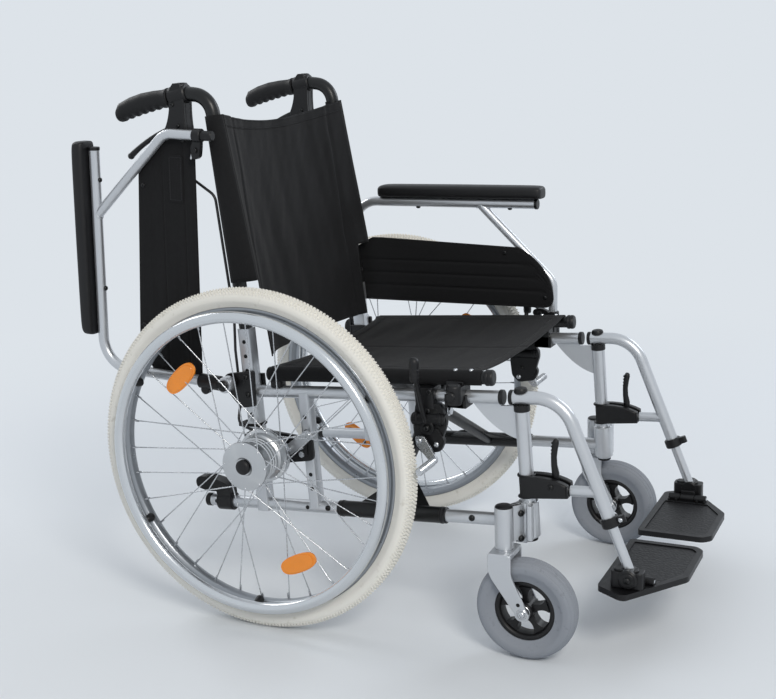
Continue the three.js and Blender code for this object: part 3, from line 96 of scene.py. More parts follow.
def placed(point, side="left", on_armrest=False):
    x, y, z = point
    if on_armrest and side == "right":
        dy, dz = y - ARM_PIVOT[0], z - ARM_PIVOT[1]
        y = ARM_PIVOT[0] + dy * math.cos(ARM_FLIP) + dz * math.sin(ARM_FLIP)
        z = ARM_PIVOT[1] - dy * math.sin(ARM_FLIP) + dz * math.cos(ARM_FLIP)
    return Vector((-x if side == "right" else x, y + axle_y * 1000, z)) / 1000


print("the axle is at y", round(axle_y, 4))

# %% [markdown]
# The side frame leans: its rails rise towards the front by 3.2 degrees. Points on it are easier to
# name by how far they are along a rail (u, forwards from the axle) and how far above the lower rail
# (w). Its plane is 222 mm beside the chair's middle, its rails have a radius of 11, and the upper
# one lies 210.5 over the lower. The back tube leans a little more than the frame, and the leg tube
# runs forwards and down.
# %% Points on the side frame, the back tube, the push handle and the leg
PITCH = math.radians(3.2)
PLANE = 222
RAIL, RAIL_Z = 11, 193.3
UPPER = 210.5
POST_U = 468
REAR_U = -36
BACK_LEAN = PITCH + math.radians(2.8)
BACK_FROM = 325


def rail(x, u, w):
    y = -u * math.cos(PITCH) + w * math.sin(PITCH)
    return Vector((x, y, RAIL_Z + u * math.sin(PITCH) + w * math.cos(PITCH)))


def on_rail(pairs):
    """Points (u, w) of the side frame, as an outline of (y, z)."""
    return [tuple(rail(0, u, w))[1:] for u, w in pairs]


def back(x, w, across=0.0):
    base, along = rail(x, REAR_U, BACK_FROM), w - BACK_FROM
    y = base.y + along * math.sin(BACK_LEAN) + across * math.cos(BACK_LEAN)
    return Vector((x, y, base.z + along * math.cos(BACK_LEAN) - across * math.sin(BACK_LEAN)))


HANDLE_DROP = math.radians(11)
handle_knee = back(PLANE, BACK_FROM + 404)
handle_crest = handle_knee + Vector((0, 50, 6))
handle_way = Vector((0, math.cos(HANDLE_DROP), -math.sin(HANDLE_DROP)))
handle_end = handle_crest + Vector((0, 150 * math.cos(HANDLE_DROP), -150 * math.sin(HANDLE_DROP)))


def handle(distance):
    """A point on the push handle, so far from its free end."""
    return handle_end - handle_way * distance


LEG_LEAN = math.radians(18.5) + PITCH
hanger_knee = rail(PLANE, 537, UPPER)
leg_way = Vector((0, -math.sin(LEG_LEAN), -math.cos(LEG_LEAN)))


def leg(start, distance):
    return start + leg_way * distance


hanger_end = leg(hanger_knee, 219)
foot_pivot = leg(hanger_end, 82)
print("handle ends at", [round(v) for v in handle_end], "leg at", [round(v) for v in foot_pivot])

# %% [markdown]
# The camera stands where the photographer stood: to the front right of the chair, a little above
# its seat. Its place and turn were found by matching the wheels and tubes of the solid model to the
# picture. A long lens from over two metres away keeps the wheels nearly round. The rotation is
# built from three directions.
# %% Camera


def add_object(name, data):
    made = bpy.data.objects.new(name, data)
    bpy.context.scene.collection.objects.link(made)
    return made


sight = Vector((-2.12821, -1.12761 + axle_y, 0.99207))
turn, tilt, roll = math.radians(-64.56), math.radians(13.27), math.radians(-2.22)
flat = math.cos(tilt)
behind = Vector((math.sin(turn) * flat, -math.cos(turn) * flat, math.sin(tilt)))
level_right = (-behind).cross(Vector((0, 0, 1))).normalized()
level_up = level_right.cross(-behind)
right = level_right * math.cos(roll) + level_up * math.sin(roll)
up = level_up * math.cos(roll) - level_right * math.sin(roll)
lens = bpy.data.cameras.new("camera")
lens.lens, lens.sensor_width, lens.clip_end = 59.92, 36, 60
camera = add_object("camera", lens)
camera.matrix_world = Matrix.Translation(sight) @ Matrix((right, up, behind)).transposed().to_4x4()
bpy.context.scene.camera = camera
print("camera at", [round(v, 3) for v in sight])

# %% [markdown]
# Shaders and shape trees are both made of nodes. This tool adds one node: it applies the settings,
# and each input either gets a value or is linked to another node's output. It hands back the
# outputs, so that the next node can use them.
# %% A tool for nodes


def add_node(tree, kind, inputs=None, **settings):
    made = tree.nodes.new(kind)
    for name, value in settings.items():
        setattr(made, name, value)
    for name, value in (inputs or {}).items():
        if isinstance(value, bpy.types.NodeSocket):
            tree.links.new(value, made.inputs[name])
        else:
            made.inputs[name].default_value = value
    return made.outputs


def linear(code):
    """A colour code as it looks on screen, turned into the light values that a shader uses."""
    parts = [int(code[i : i + 2], 16) / 255 for i in (0, 2, 4)]
    return (*[p / 12.92 if p <= 0.04045 else ((p + 0.055) / 1.055) ** 2.4 for p in parts], 1)


print("mid grey is", round(linear("808080")[0], 3))

# %% [markdown]
# A pale floor catches the shadow, and soft lamps light the chair from the front right, as in the
# photograph. The world gives the even light of a white room. What the camera and shiny metal see of
# it is a pale grey. The lamps are kept at a level where a colour renders about as it is written.
# %% Lamps and world


def lamp(name, place, target, size, power, colour="ffffff"):
    data = bpy.data.lights.new(name, "AREA")
    data.shape, data.size, data.energy, data.color = "DISK", size, power, linear(colour)[:3]
    made = add_object(name, data)
    made.location = place
    made.rotation_mode = "QUATERNION"
    made.rotation_quaternion = (Vector(target) - Vector(place)).to_track_quat("-Z", "Y")


lamp("key_lamp", (-2.6, -2.4, 2.9), (0, 0, 0.45), 1.3, 74, "fffaf2")
lamp("side_lamp", (2.8, -1.6, 2.0), (0, 0, 0.5), 1.8, 24, "f2f7ff")
lamp("back_lamp", (0.6, 3.0, 2.6), (0, 0, 0.5), 1.4, 30)

BACKDROP = linear("dde3e9")


def combine(tree, operation, first, second):
    return add_node(tree, "ShaderNodeMath", {0: first, 1: second}, operation=operation)[0]


def seen_rays(tree):
    """One for rays that show a surface: from the camera, in a reflection or through glass."""
    rays = add_node(tree, "ShaderNodeLightPath")
    straight = combine(tree, "MAXIMUM", rays["Is Camera Ray"], rays["Is Glossy Ray"])
    return combine(tree, "MAXIMUM", straight, rays["Is Transmission Ray"])


def choose(tree, share, first, second):
    return add_node(tree, "ShaderNodeMixShader", {"Fac": share, 1: first[0], 2: second[0]})[0]


world = bpy.data.worlds.new("pale_room")
bpy.context.scene.world = world
world.use_nodes = True
tree = world.node_tree
tree.nodes.clear()
even = add_node(tree, "ShaderNodeBackground", {"Color": linear("f4f7fb"), "Strength": 0.62})
shown = add_node(tree, "ShaderNodeBackground", {"Color": BACKDROP})
add_node(tree, "ShaderNodeOutputWorld", {"Surface": choose(tree, seen_rays(tree), even, shown)})
print("lamps", len(bpy.data.lights))

# %% Floor
floor_mesh = bpy.data.meshes.new("floor")
floor_mesh.from_pydata([(-9, -9, 0), (9, -9, 0), (9, 9, 0), (-9, 9, 0)], [], [(0, 1, 2, 3)])
floor = add_object("floor", floor_mesh)
floor.location.z = cad_box[0].z - 0.0005
floor_finish = bpy.data.materials.new("floor_paint")
floor_finish.use_nodes = True
tree = floor_finish.node_tree
paint = tree.nodes["Principled BSDF"]
paint.inputs["Base Color"].default_value = linear("dde2e7")
paint.inputs["Roughness"].default_value = 0.7
distant = add_node(tree, "ShaderNodeEmission", {"Color": BACKDROP})
place = add_node(tree, "ShaderNodeTexCoord")["Object"]
reach = add_node(tree, "ShaderNodeVectorMath", {0: place}, operation="LENGTH")["Value"]
fade = add_node(tree, "ShaderNodeMapRange", {"Value": reach, "From Min": 0.9, "From Max": 2.6},
                interpolation_type="SMOOTHSTEP")["Result"]
share = combine(tree, "MULTIPLY", fade, seen_rays(tree))
surface = choose(tree, share, paint.outputs, distant)
tree.links.new(surface, tree.nodes["Material Output"].inputs["Surface"])
floor_mesh.materials.append(floor_finish)
print("stage ready, floor at", round(floor.location.z, 4))

# %% [markdown]
# Finishes come next, because every piece needs one. No real surface is one flat colour: paint has
# flakes and faint orange peel, moulded plastic has a fine grain, rubber is dull and dusty. One
# function lays these on the standard shader: a slow noise shifts the colour, a second one the
# roughness, and a fine one raises a bump. The textures read Object coordinates, in metres, so a
# grain of 900 is about one bump a millimetre. `carve` adds or swaps in another bump later.
# %% A finish with its own grain


def finish(name, colour, roughness, metallic=0.0, shift=0.1, grain=900.0, relief=0.00004,
           patch=14.0, spread=0.08, worn=None, **sockets):
    made = bpy.data.materials.new(name)
    made.use_nodes = True
    tree = made.node_tree
    shader = tree.nodes["Principled BSDF"]
    shader.inputs["Metallic"].default_value = metallic
    for socket, value in sockets.items():
        shader.inputs[socket.replace("_", " ")].default_value = value
    place = add_node(tree, "ShaderNodeTexCoord")["Object"]

    def cloud(scale, detail):
        values = {"Scale": scale, "Detail": detail, "Vector": place}
        return add_node(tree, "ShaderNodeTexNoise", values)["Fac"]

    def ranged(value, low, high, ends):
        values = {"Value": value, f"{ends} Min": low, f"{ends} Max": high}
        return add_node(tree, "ShaderNodeMapRange", values)["Result"]

    def mixed(share, first, second):
        values = {"Factor": share, "A": first, "B": second}
        return add_node(tree, "ShaderNodeMix", values, data_type="RGBA")["Result"]

    base = linear(colour)[:3]
    dark, light = [c * (1 - shift) for c in base], [min(1, c * (1 + shift)) for c in base]
    tint = mixed(cloud(patch, 5), (*dark, 1), (*light, 1))
    if worn:
        tint = mixed(ranged(cloud(patch * 9, 8), 0.62, 0.74, "From"), tint, linear(worn))
    tree.links.new(tint, shader.inputs["Base Color"])
    gloss = cloud(patch * 6, 4)
    gloss = ranged(gloss, max(0.02, roughness - spread), min(1, roughness + spread), "To")
    tree.links.new(gloss, shader.inputs["Roughness"])
    bump = add_node(tree, "ShaderNodeBump", {"Height": cloud(grain, 2), "Distance": relief})
    tree.links.new(bump["Normal"], shader.inputs["Normal"])
    return made


def carve(material, height, distance, over_grain=False, **settings):
    """A bump from a height, over the finish's own grain or in its place."""
    tree = material.node_tree
    normal = tree.nodes["Principled BSDF"].inputs["Normal"]
    inputs = {"Height": height, "Distance": distance}
    if over_grain:
        inputs["Normal"] = normal.links[0].from_socket
    tree.links.new(add_node(tree, "ShaderNodeBump", inputs, **settings)["Normal"], normal)


silver = finish("satin_silver_paint", "c6c9cd", 0.32, 0.76, 0.05, 1500, 0.000008, 10, 0.05,
                Coat_Weight=0.2)
black_steel = finish("black_powder_coat", "0e0f10", 0.34, 0.0, 0.15, 1300, 0.00005,
                     worn="1a1b1d", Specular_IOR_Level=0.4)
black_plastic = finish("black_moulded_plastic", "0f0f11", 0.42, 0.0, 0.16, 1100, 0.00006,
                       worn="1a1a1c", Specular_IOR_Level=0.36)
grip_rubber = finish("black_grip_rubber", "0e0e10", 0.55, 0.0, 0.15, 1500, 0.00008,
                     worn="1a1a1c", Specular_IOR_Level=0.32)
cable_sheath = finish("cable_sheath", "121214", 0.35, 0.0, 0.1, 1200, 0.00002)
cream_rubber = finish("cream_tyre_rubber", "e4e2db", 0.72, 0.0, 0.05, 700, 0.00012, 9,
                      worn="d2cfc6")
gray_rubber = finish("grey_tyre_rubber", "868b93", 0.72, 0.0, 0.06, 800, 0.0001, 12, worn="797d85")
rim_metal = finish("grey_rim_metal", "94989d", 0.3, 0.85, 0.06, 1300, 0.00002, 12, 0.07)
bright_metal = finish("bright_handrim_metal", "d2d5d8", 0.19, 0.9, 0.04, 900, 0.00001, 8, 0.05)
bolt_metal = finish("zinc_bolt_metal", "c6c8cb", 0.27, 1.0, 0.12, 1500, 0.00001, 60, 0.08)
# Painted shade: a near-black finish for flat discs and thin blocks that stand where holes and slits
# are, in place of the shade inside them.
hole_shade_paint = finish("hole_shade_paint", "0c0c0d", 0.85, 0.0, 0.2, 1200, 0.00004)
pad_skin = finish("black_pad_skin", "121214", 0.48, 0.0, 0.12, 1000, 0.00012, 16, 0.06,
                  worn="1a1a1d", Specular_IOR_Level=0.36)
print("finishes", len(bpy.data.materials))

# %% [markdown]
# Until a node gets its own piece, its solid shows. Each one takes the finish of its material slot
# in the record, so nothing stays grey. A solid that a finer piece stands for is hidden later.
# %% Finishes for the frame's own nodes
slot_finish = {
    "silver": silver, "black_steel": black_steel, "grip": grip_rubber, "pad": pad_skin,
    "black_plastic": black_plastic, "nylon": black_plastic, "cable": cable_sheath,
    "cream_tyre": cream_rubber, "gray_tyre": gray_rubber, "rim": rim_metal,
    "polished": bright_metal, "bolt": bolt_metal,
}
slot_of = {part["node"]: part["material_slot"] for part in frame["record"]["subparts"]}
for name, node in frame["nodes"].items():
    for material_slot in node.material_slots:
        material_slot.material = slot_finish[slot_of[name]]
print("dressed", len(frame["nodes"]), "nodes")

# %% [markdown]
# Most pieces are bent tubes, turned rings or cut plates, so we write those tools once. Each returns
# points and faces in millimetres, and a Form gathers them until it becomes one mesh. A swept tube
# carries its ring of points along the path without twisting, and its ends get a small chamfer that
# catches the light. `stack` is a tube whose radius changes along a straight axis, such as a cap.
# %% Tubes and rods


def bend(points, radius, step=6):
    """A path with each corner rounded to a bend radius."""
    points = [Vector(p) for p in points]
    path = [points[0]]
    for before, corner, after in zip(points, points[1:], points[2:]):
        a, b = (corner - before).normalized(), (after - corner).normalized()
        turned_by = a.angle(b)
        if turned_by < 0.01:
            path.append(corner)
            continue
        start = corner - a * radius * math.tan(turned_by / 2)
        centre = corner + (b - a).normalized() * radius / math.cos(turned_by / 2)
        count = max(2, round(math.degrees(turned_by) / step))
        for k in range(count + 1):
            spin = Matrix.Rotation(turned_by * k / count, 3, a.cross(b).normalized())
            path.append(centre + spin @ (start - centre))
    return path + [points[-1]]


def skin(stations, count):
    """Faces between rings of points that follow each other, and over both ends."""
    faces = []
    for i in range(stations - 1):
        for k in range(count):
            j = (k + 1) % count
            near, far = i * count, (i + 1) * count
            faces.append([near + k, near + j, far + j, far + k])
    last = (stations - 1) * count
    return faces + [list(range(count))[::-1], list(range(last, last + count))]


def lofted(sections):
    """A closed form through sections that have the same number of points."""
    points = [Vector(p) for section in sections for p in section]
    return points, skin(len(sections), len(sections[0]))


def tube(path, radius, sides=24, chamfer=0.8):
    """A round tube. The radius is one number, or one for each point of the path."""
    path = [Vector(p) for p in path]
    radii = list(radius) if hasattr(radius, "__len__") else [radius] * len(path)
    last = len(path) - 1
    ways = [(path[min(i + 1, last)] - path[max(i - 1, 0)]).normalized() for i in range(last + 1)]
    stations = [(path[0], radii[0] - chamfer, ways[0]),
                (path[0] + ways[0] * chamfer, radii[0], ways[0])]
    stations += list(zip(path, radii, ways))[1:-1]
    stations += [(path[-1] - ways[-1] * chamfer, radii[-1], ways[-1]),
                 (path[-1], radii[-1] - chamfer, ways[-1])]
    side = ways[0].orthogonal().normalized()
    points = []
    for middle, reach, way in stations:
        side = (side - way * side.dot(way)).normalized()
        other = way.cross(side)
        for k in range(sides):
            angle = 2 * math.pi * k / sides
            points.append(middle + (side * math.cos(angle) + other * math.sin(angle)) * reach)
    return points, skin(len(stations), sides)


def rod(start, end, radius, end_radius=None, sides=24, chamfer=0.8):
    return tube([start, end], [radius, end_radius or radius], sides, chamfer)


def pin(y, z, from_x, to_x, radius, sides=24, chamfer=0.8):
    return rod((from_x, y, z), (to_x, y, z), radius, None, sides, chamfer)


def stack(place, profile, sides=24, chamfer=0.05):
    """A tube from a profile of (radius, distance), where `place` gives the point at a distance."""
    return tube([place(along) for _, along in profile], [r for r, _ in profile], sides, chamfer)


print("a rod has", len(rod((0, 0, 0), (0, 0, 50), 5)[0]), "points")

# %% [markdown]
# A turned ring spins a profile about the axle's direction. A plate is an outline with a thickness.
# Outlines are given by their corners, and `soften` rounds each corner with a few points, as a
# cutter would leave it.
# %% Turned rings, plates and soft corners


def soften(outline, radius, steps=4):
    """Rounds the corners of a closed outline of flat points."""
    outline = [Vector(p) for p in outline]
    made = []
    for i, corner in enumerate(outline):
        to_last, to_next = outline[i - 1] - corner, outline[(i + 1) % len(outline)] - corner
        reach = min(radius, to_last.length * 0.45, to_next.length * 0.45)
        a, b = corner + to_last.normalized() * reach, corner + to_next.normalized() * reach
        for k in range(steps + 1):
            t = k / steps
            made.append(a * (1 - t) ** 2 + corner * 2 * t * (1 - t) + b * t * t)
    return made


def arc(start, control, end, steps=8):
    """Points of one smooth curve that leans towards its control point."""
    a, c, b = Vector(start), Vector(control), Vector(end)
    shares = [k / steps for k in range(steps + 1)]
    return [tuple(a * (1 - t) ** 2 + c * 2 * t * (1 - t) + b * t**2) for t in shares]


def hoop(sections):
    """A form through sections in a ring, where the last one meets the first."""
    count, faces = len(sections[0]), []
    for near in range(len(sections)):
        far = (near + 1) % len(sections)
        for k in range(count):
            j = (k + 1) % count
            faces.append([near * count + k, far * count + k, far * count + j, near * count + j])
    return [Vector(p) for section in sections for p in section], faces


def turned(profile, centre, segments=96):
    """A closed profile of (radius, x) spun about an axle at (y, z)."""
    angles = [2 * math.pi * k / segments for k in range(segments)]
    return hoop([[(x, centre[0] + reach * math.cos(a), centre[1] + reach * math.sin(a))
                  for reach, x in profile] for a in angles])


def prism(base, step):
    """A flat outline in space, carried along one step."""
    base, step = [Vector(p) for p in base], Vector(step)
    return base + [p + step for p in base], skin(2, len(base))


def plate(outline, from_x, to_x):
    return prism([(from_x, y, z) for y, z in outline], (to_x - from_x, 0, 0))


def block(low, high, corner=2.0):
    """A box with its four upright edges rounded."""
    outline = [(low[0], low[1]), (high[0], low[1]), (high[0], high[1]), (low[0], high[1])]
    return prism([(x, y, low[2]) for x, y in soften(outline, corner, 3)],
                 (0, 0, high[2] - low[2]))


def rail_block(x, u, w, size_x, size_u, size_w, corner=2.0):
    """The same box in the axes of the side frame."""
    a, b = size_x / 2, size_u / 2
    outline = soften([(-a, -b), (a, -b), (a, b), (-a, b)], corner, 3)
    base = [rail(x + dx, u + du, w - size_w / 2) for dx, du in outline]
    return prism(base, rail(0, 0, size_w) - rail(0, 0, 0))


print("a softened square has", len(soften([(0, 0), (9, 0), (9, 9), (0, 9)], 2)), "points")

# %% [markdown]
# A Form gathers shapes and remembers which finish each one has. `piece` turns it into a mesh object
# in the frame's place, points its faces outwards, shades it smooth with crisp edges, and ties it to
# its body. A Bevel modifier, where asked for, rounds the last sharp edges. `pair` makes the same
# piece for both sides. The names of the piece, its body and the solid it stands for then start
# with the side.
# %% From a form to a piece


class Form:
    def __init__(self):
        self.points, self.faces, self.finishes = [], [], []

    def add(self, shape, finish_index=0):
        start = len(self.points)
        self.points += shape[0]
        self.faces += [[start + i for i in face] for face in shape[1]]
        self.finishes += [finish_index] * len(shape[1])
        return self


def piece(name, form, finishes, body, side="left", on_armrest=False, stands_for=(), slot=None,
          crease=38, bevel=0.0):
    mesh = bpy.data.meshes.new(name)
    mesh.from_pydata([placed(p, side, on_armrest) for p in form.points], [], form.faces)
    for one in finishes:
        mesh.materials.append(one)
    mesh.polygons.foreach_set("material_index", form.finishes)
    shape = bmesh.new()
    shape.from_mesh(mesh)
    bmesh.ops.recalc_face_normals(shape, faces=shape.faces)
    shape.to_mesh(mesh)
    shape.free()
    mesh.shade_smooth()
    mesh.set_sharp_from_angle(angle=math.radians(crease))
    made = add_object(name, mesh)
    if bevel:
        soft_edge = made.modifiers.new("soft_edge", "BEVEL")
        soft_edge.width, soft_edge.segments = bevel / 1000, 2
        soft_edge.limit_method, soft_edge.angle_limit = "ANGLE", math.radians(50)
    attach(made, body)
    if stands_for:
        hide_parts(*stands_for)
    return made


def pair(name, form, finishes, body, stands_for=None, slot=None, **more):
    for side in SIDES:
        solids = [f"{side}_{stands_for}"] if stands_for else ()
        piece(f"{side}_{name}", form, finishes, f"{side}_{body}", side, stands_for=solids,
              slot=slot, **more)


print("tools ready")

# %% [markdown]
# Screws, spoke heads, holes and stitches repeat, so Geometry Nodes place them: one small shape, a
# cloud of points, and an `aim` for each point. The tree turns the shape's own up direction to the
# aim, makes the copies real and paints them. A second tree turns edges into round wire, for spokes
# and threads.
# %% Node trees that repeat a shape or thicken a line


def node_tree(name, inputs):
    made = bpy.data.node_groups.new(name, "GeometryNodeTree")
    add_socket = made.interface.new_socket
    for way in ("INPUT", "OUTPUT"):
        add_socket("Geometry", in_out=way, socket_type="NodeSocketGeometry")
    keys = {label: add_socket(label, in_out="INPUT", socket_type="NodeSocket" + kind).identifier
            for label, kind in inputs.items()}
    return made, keys, made.nodes.new("NodeGroupInput").outputs


def painted_end(tree, shapes, given):
    """The same end for each tree: copies made real, painted and handed out."""
    real = add_node(tree, "GeometryNodeRealizeInstances", {"Geometry": shapes})["Geometry"]
    values = {"Geometry": real, "Material": given["Finish"]}
    painted = add_node(tree, "GeometryNodeSetMaterial", values)["Geometry"]
    add_node(tree, "NodeGroupOutput", {"Geometry": painted})


stamp_tree, stamp_keys, given = node_tree(
    "stamped_shapes", {"Shape": "Object", "Size": "Float", "Finish": "Material"})
points = add_node(stamp_tree, "GeometryNodeMeshToPoints", {"Mesh": given["Geometry"]})["Points"]
shape = add_node(stamp_tree, "GeometryNodeObjectInfo", {"Object": given["Shape"]})["Geometry"]
aim = add_node(stamp_tree, "GeometryNodeInputNamedAttribute", {"Name": "aim"},
               data_type="FLOAT_VECTOR")["Attribute"]
facing = add_node(stamp_tree, "FunctionNodeAlignRotationToVector", {"Vector": aim}, axis="Z")
values = {"Points": points, "Instance": shape, "Rotation": facing["Rotation"],
          "Scale": given["Size"]}
copies = add_node(stamp_tree, "GeometryNodeInstanceOnPoints", values)["Instances"]
painted_end(stamp_tree, copies, given)

wire_tree, wire_keys, given = node_tree(
    "round_wires", {"Radius": "Float", "Sides": "Int", "Finish": "Material"})
curve = add_node(wire_tree, "GeometryNodeMeshToCurve", {"Mesh": given["Geometry"]})["Curve"]
values = {"Radius": given["Radius"], "Resolution": given["Sides"]}
section = add_node(wire_tree, "GeometryNodeCurvePrimitiveCircle", values)["Curve"]
values = {"Curve": curve, "Profile Curve": section, "Fill Caps": True}
wire = add_node(wire_tree, "GeometryNodeCurveToMesh", values)["Mesh"]
painted_end(wire_tree, wire, given)
print("trees", [group.name for group in bpy.data.node_groups])

# %% [markdown]
# A tree works on a carrier mesh through a modifier. `grown` runs the tree, keeps the result as a
# plain mesh and throws the carrier away. `stamp` and `wires` prepare the carriers from points in
# millimetres, and `stamp_pair` stamps both sides.
# %% Growing a piece from a tree


def grown(name, carrier, group, keys, values, body, crease=40):
    holder = add_object(name + "_carrier", carrier)
    change = holder.modifiers.new("grow", "NODES")
    change.node_group = group
    for label, value in values.items():
        change[keys[label]] = value
    evaluated = holder.evaluated_get(bpy.context.evaluated_depsgraph_get())
    mesh = bpy.data.meshes.new_from_object(evaluated)
    mesh.name = name
    mesh.shade_smooth()
    mesh.set_sharp_from_angle(angle=math.radians(crease))
    bpy.data.objects.remove(holder)
    made = add_object(name, mesh)
    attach(made, body)
    return made


def stamp(name, spots, shape, paint, body, side="left", on_armrest=False, size=1.0):
    """Copies of a small shape at (point, aim) pairs, given in millimetres on the left side."""
    origin = placed((0, 0, 0), side, on_armrest)
    carrier = bpy.data.meshes.new(name + "_spots")
    carrier.from_pydata([placed(point, side, on_armrest) for point, _ in spots], [], [])
    aims = carrier.attributes.new("aim", "FLOAT_VECTOR", "POINT")
    for i, (_, way) in enumerate(spots):
        aims.data[i].vector = (placed(way, side, on_armrest) - origin).normalized()
    values = {"Shape": shape, "Size": size, "Finish": paint}
    return grown(name, carrier, stamp_tree, stamp_keys, values, body)


def stamp_pair(name, spots, shape, paint, body, **more):
    for side in SIDES:
        stamp(f"{side}_{name}", spots, shape, paint, f"{side}_{body}", side, **more)


def wires(name, lines, radius, paint, body, side="left", sides=8):
    points, edges = [], []
    for line in lines:
        edges += [(len(points) + i, len(points) + i + 1) for i in range(len(line) - 1)]
        points += [placed(p, side) for p in line]
    carrier = bpy.data.meshes.new(name + "_lines")
    carrier.from_pydata(points, edges, [])
    values = {"Radius": radius / 1000, "Sides": sides, "Finish": paint}
    return grown(name, carrier, wire_tree, wire_keys, values, body, 60)


small_shapes = []


def small_shape(name, points, faces):
    """A hidden shape for the trees to copy. Its points are millimetres from where it stands."""
    mesh = bpy.data.meshes.new(name)
    mesh.from_pydata([Vector(p) / 1000 for p in points], [], faces)
    made = add_object(name, mesh)
    made.hide_render = made.hide_viewport = True
    small_shapes.append(made)
    return made


def small_turned(name, rings, sides):
    """The same from rings of (radius, height), with closed ends."""
    angles = [2 * math.pi * k / sides for k in range(sides)]
    points = [(r * math.cos(a), r * math.sin(a), z) for r, z in rings for a in angles]
    return small_shape(name, points, skin(len(rings), sides))


dome_head = small_turned(
    "dome_head", [(5, -1), (5, 0.8), (4.4, 2.2), (2.9, 3.1), (2.3, 3.2), (2.1, 1.6)], 16)
hex_head = small_turned("hex_head", [(5.4, -1), (5.4, 3.4), (4.8, 4.0)], 6)
hole_disc = small_turned("hole_disc", [(3.7, -1), (3.7, 0.14), (3.3, 0.14), (3.1, 0.04)], 16)
spoke_head = small_turned("spoke_head", [(1.9, -0.5), (1.9, 0.5), (1.2, 1.2)], 8)
print("small shapes", [one.name for one in small_shapes])


# %% [markdown]
# The side frame is welded from round rails and posts, with two flat-sided posts behind that carry
# the axle. Swept tubes give it smooth outlines. A thin rounded bead runs round each joint, where
# the weld is, and a plate with a hollow edge stiffens the front corner. Black plastic rings close
# the ends of the rails.
# %% Weld beads


def weld(middle, along, outwards, post_radius, rail_radius, bead=1.5):
    """A bead round a post of one radius that stands on a rail of another."""
    along, outwards = Vector(along).normalized(), Vector(outwards).normalized()
    across = along.cross(outwards)
    line = []
    for k in range(28):
        angle = 2 * math.pi * k / 28
        reach = post_radius * math.sin(angle)
        lift = math.sqrt(max(rail_radius**2 - reach**2, 9))
        step = along * post_radius * math.cos(angle) + across * reach + outwards * lift
        line.append(Vector(middle) + step)
    return tube(line + line[:1], bead, 6, 0.01)


def rail_rod(start, end, radius, **more):
    """A rod between two points (u, w) in the plane of the side frame."""
    return rod(rail(PLANE, *start), rail(PLANE, *end), radius, **more)


rail_way, post_way = rail(0, 1, 0) - rail(0, 0, 0), rail(0, 0, 1) - rail(0, 0, 0)
print("one bead has", len(weld((0, 0, 0), rail_way, post_way, 9, RAIL)[0]), "points")

# %% Side frames
STRUT_U = 70
FOOT_END, REAR_END = -31.7, -159.2
OUTWARDS = (1, 0, 0)
post_top = UPPER - RAIL - 0.3
front_corner = [(464, UPPER - 14), (432, UPPER - 14), (432, UPPER - 9), (384, UPPER - 9)]
hollow_edge = arc((384, UPPER - 9), (421.5, 148.8), (464, 139.5), 12)[1:]
form = Form()
form.add(rail_rod((REAR_END + 0.3, 0), (POST_U, 0), RAIL))
form.add(rail_rod((REAR_U, UPPER), (437, UPPER), RAIL))
form.add(rail_rod((POST_U, FOOT_END + 0.2), (POST_U, post_top), 12))
form.add(rail_block(PLANE, REAR_U, 157, 26, 24, 336, 4))
form.add(rail_block(PLANE, STRUT_U, UPPER / 2, 24, 20, UPPER, 4))
form.add(plate(on_rail(front_corner + hollow_edge), 220, 224))
for u, radius in ((REAR_U, RAIL), (STRUT_U, 9.5)):
    form.add(weld(rail(PLANE, u, 0), rail_way, post_way, radius, RAIL))
    form.add(weld(rail(PLANE, u, UPPER), rail_way, -post_way, radius, RAIL))
form.add(weld(rail(PLANE, POST_U, 0), post_way, -rail_way, 10.5, 12))
form.add(rail_rod((431.9, UPPER), (439, UPPER), 12.5), 1)
form.add(rail_rod((POST_U, post_top - 11), (POST_U, post_top), 13.4), 1)
form.add(rail_rod((POST_U, FOOT_END), (POST_U, -27), 12.3), 1)
form.add(rail_rod((REAR_END, 0), (-149, 0), 12), 1)
form.add(rail_block(PLANE, 17, 227.5, 18, 22, 16, 3), 1)
pair("frame_tubes", form, [silver, black_plastic], "frame", "side_frame", "silver")
spots = [(rail(235, REAR_U, w), OUTWARDS) for w in (302, 276, 250, 66, 40)]
spots += [(rail(234, STRUT_U, w), OUTWARDS) for w in (168, 142, 63, 37)]
spots += [(rail(233, u, 1), OUTWARDS) for u in (-135, 56)]
# The holes are flat discs in the painted shade finish, not cut openings: their darkness is painted
# shade.
stamp_pair("frame_holes", spots, hole_disc, hole_shade_paint, "frame")
spots = [(rail(234.6, REAR_U, 169), OUTWARDS), (rail(232.6, 97, 2), OUTWARDS)]
stamp_pair("frame_plugs", spots, dome_head, black_plastic, "frame")
print("side frames done")

# %% [markdown]
# The back tube is one black tube that leans back, then bends over into the push handle. The brake
# housing is clamped round it. Its moulded body is a plate with a soft outline, and the clamp above
# it is round.
# %% Back tubes and brake housings
BACK_TUBE = 12.5
HANDLE_BEND = 38
path = bend([back(PLANE, BACK_FROM + 1), handle_knee, handle_crest, handle(10)], HANDLE_BEND)
form = Form().add(tube(path, BACK_TUBE))
pair("back_tube_bent", form, [black_steel], "frame", "back_tube", "black_steel")

clamp_middle = handle(139)
lever_pivot = clamp_middle + Vector((0, 0, -52))
housing = [(-10, 16), (-6, 20), (6, 20), (12, 13), (17, 4), (17, -24)]
housing += arc((17, -24), (20, -42), (28, -56), 5)[1:] + [(6, -100), (-12, -100), (-15, -60)]
housing += arc((-15, -60), (-12, -36), (-15, -4), 5)[1:]
outline = [(clamp_middle.y + y, clamp_middle.z + z) for y, z in housing]
web = [p for p in outline if p[1] > lever_pivot.z + 11 or p[0] < lever_pivot.y - 10]
form = Form().add(plate(outline, 208, 215)).add(plate(outline, 229, 236))
form.add(plate(web, 214.5, 229.5))
form.add(rod(handle(120), handle(156), 17, chamfer=2.2))
crown = clamp_middle + Vector((0, -3, 12))
form.add(rod(crown, crown + Vector((0, 0, 8.5)), 12, 9, chamfer=2.6))
pair("brake_housing", form, [black_plastic], "frame", bevel=1.4)
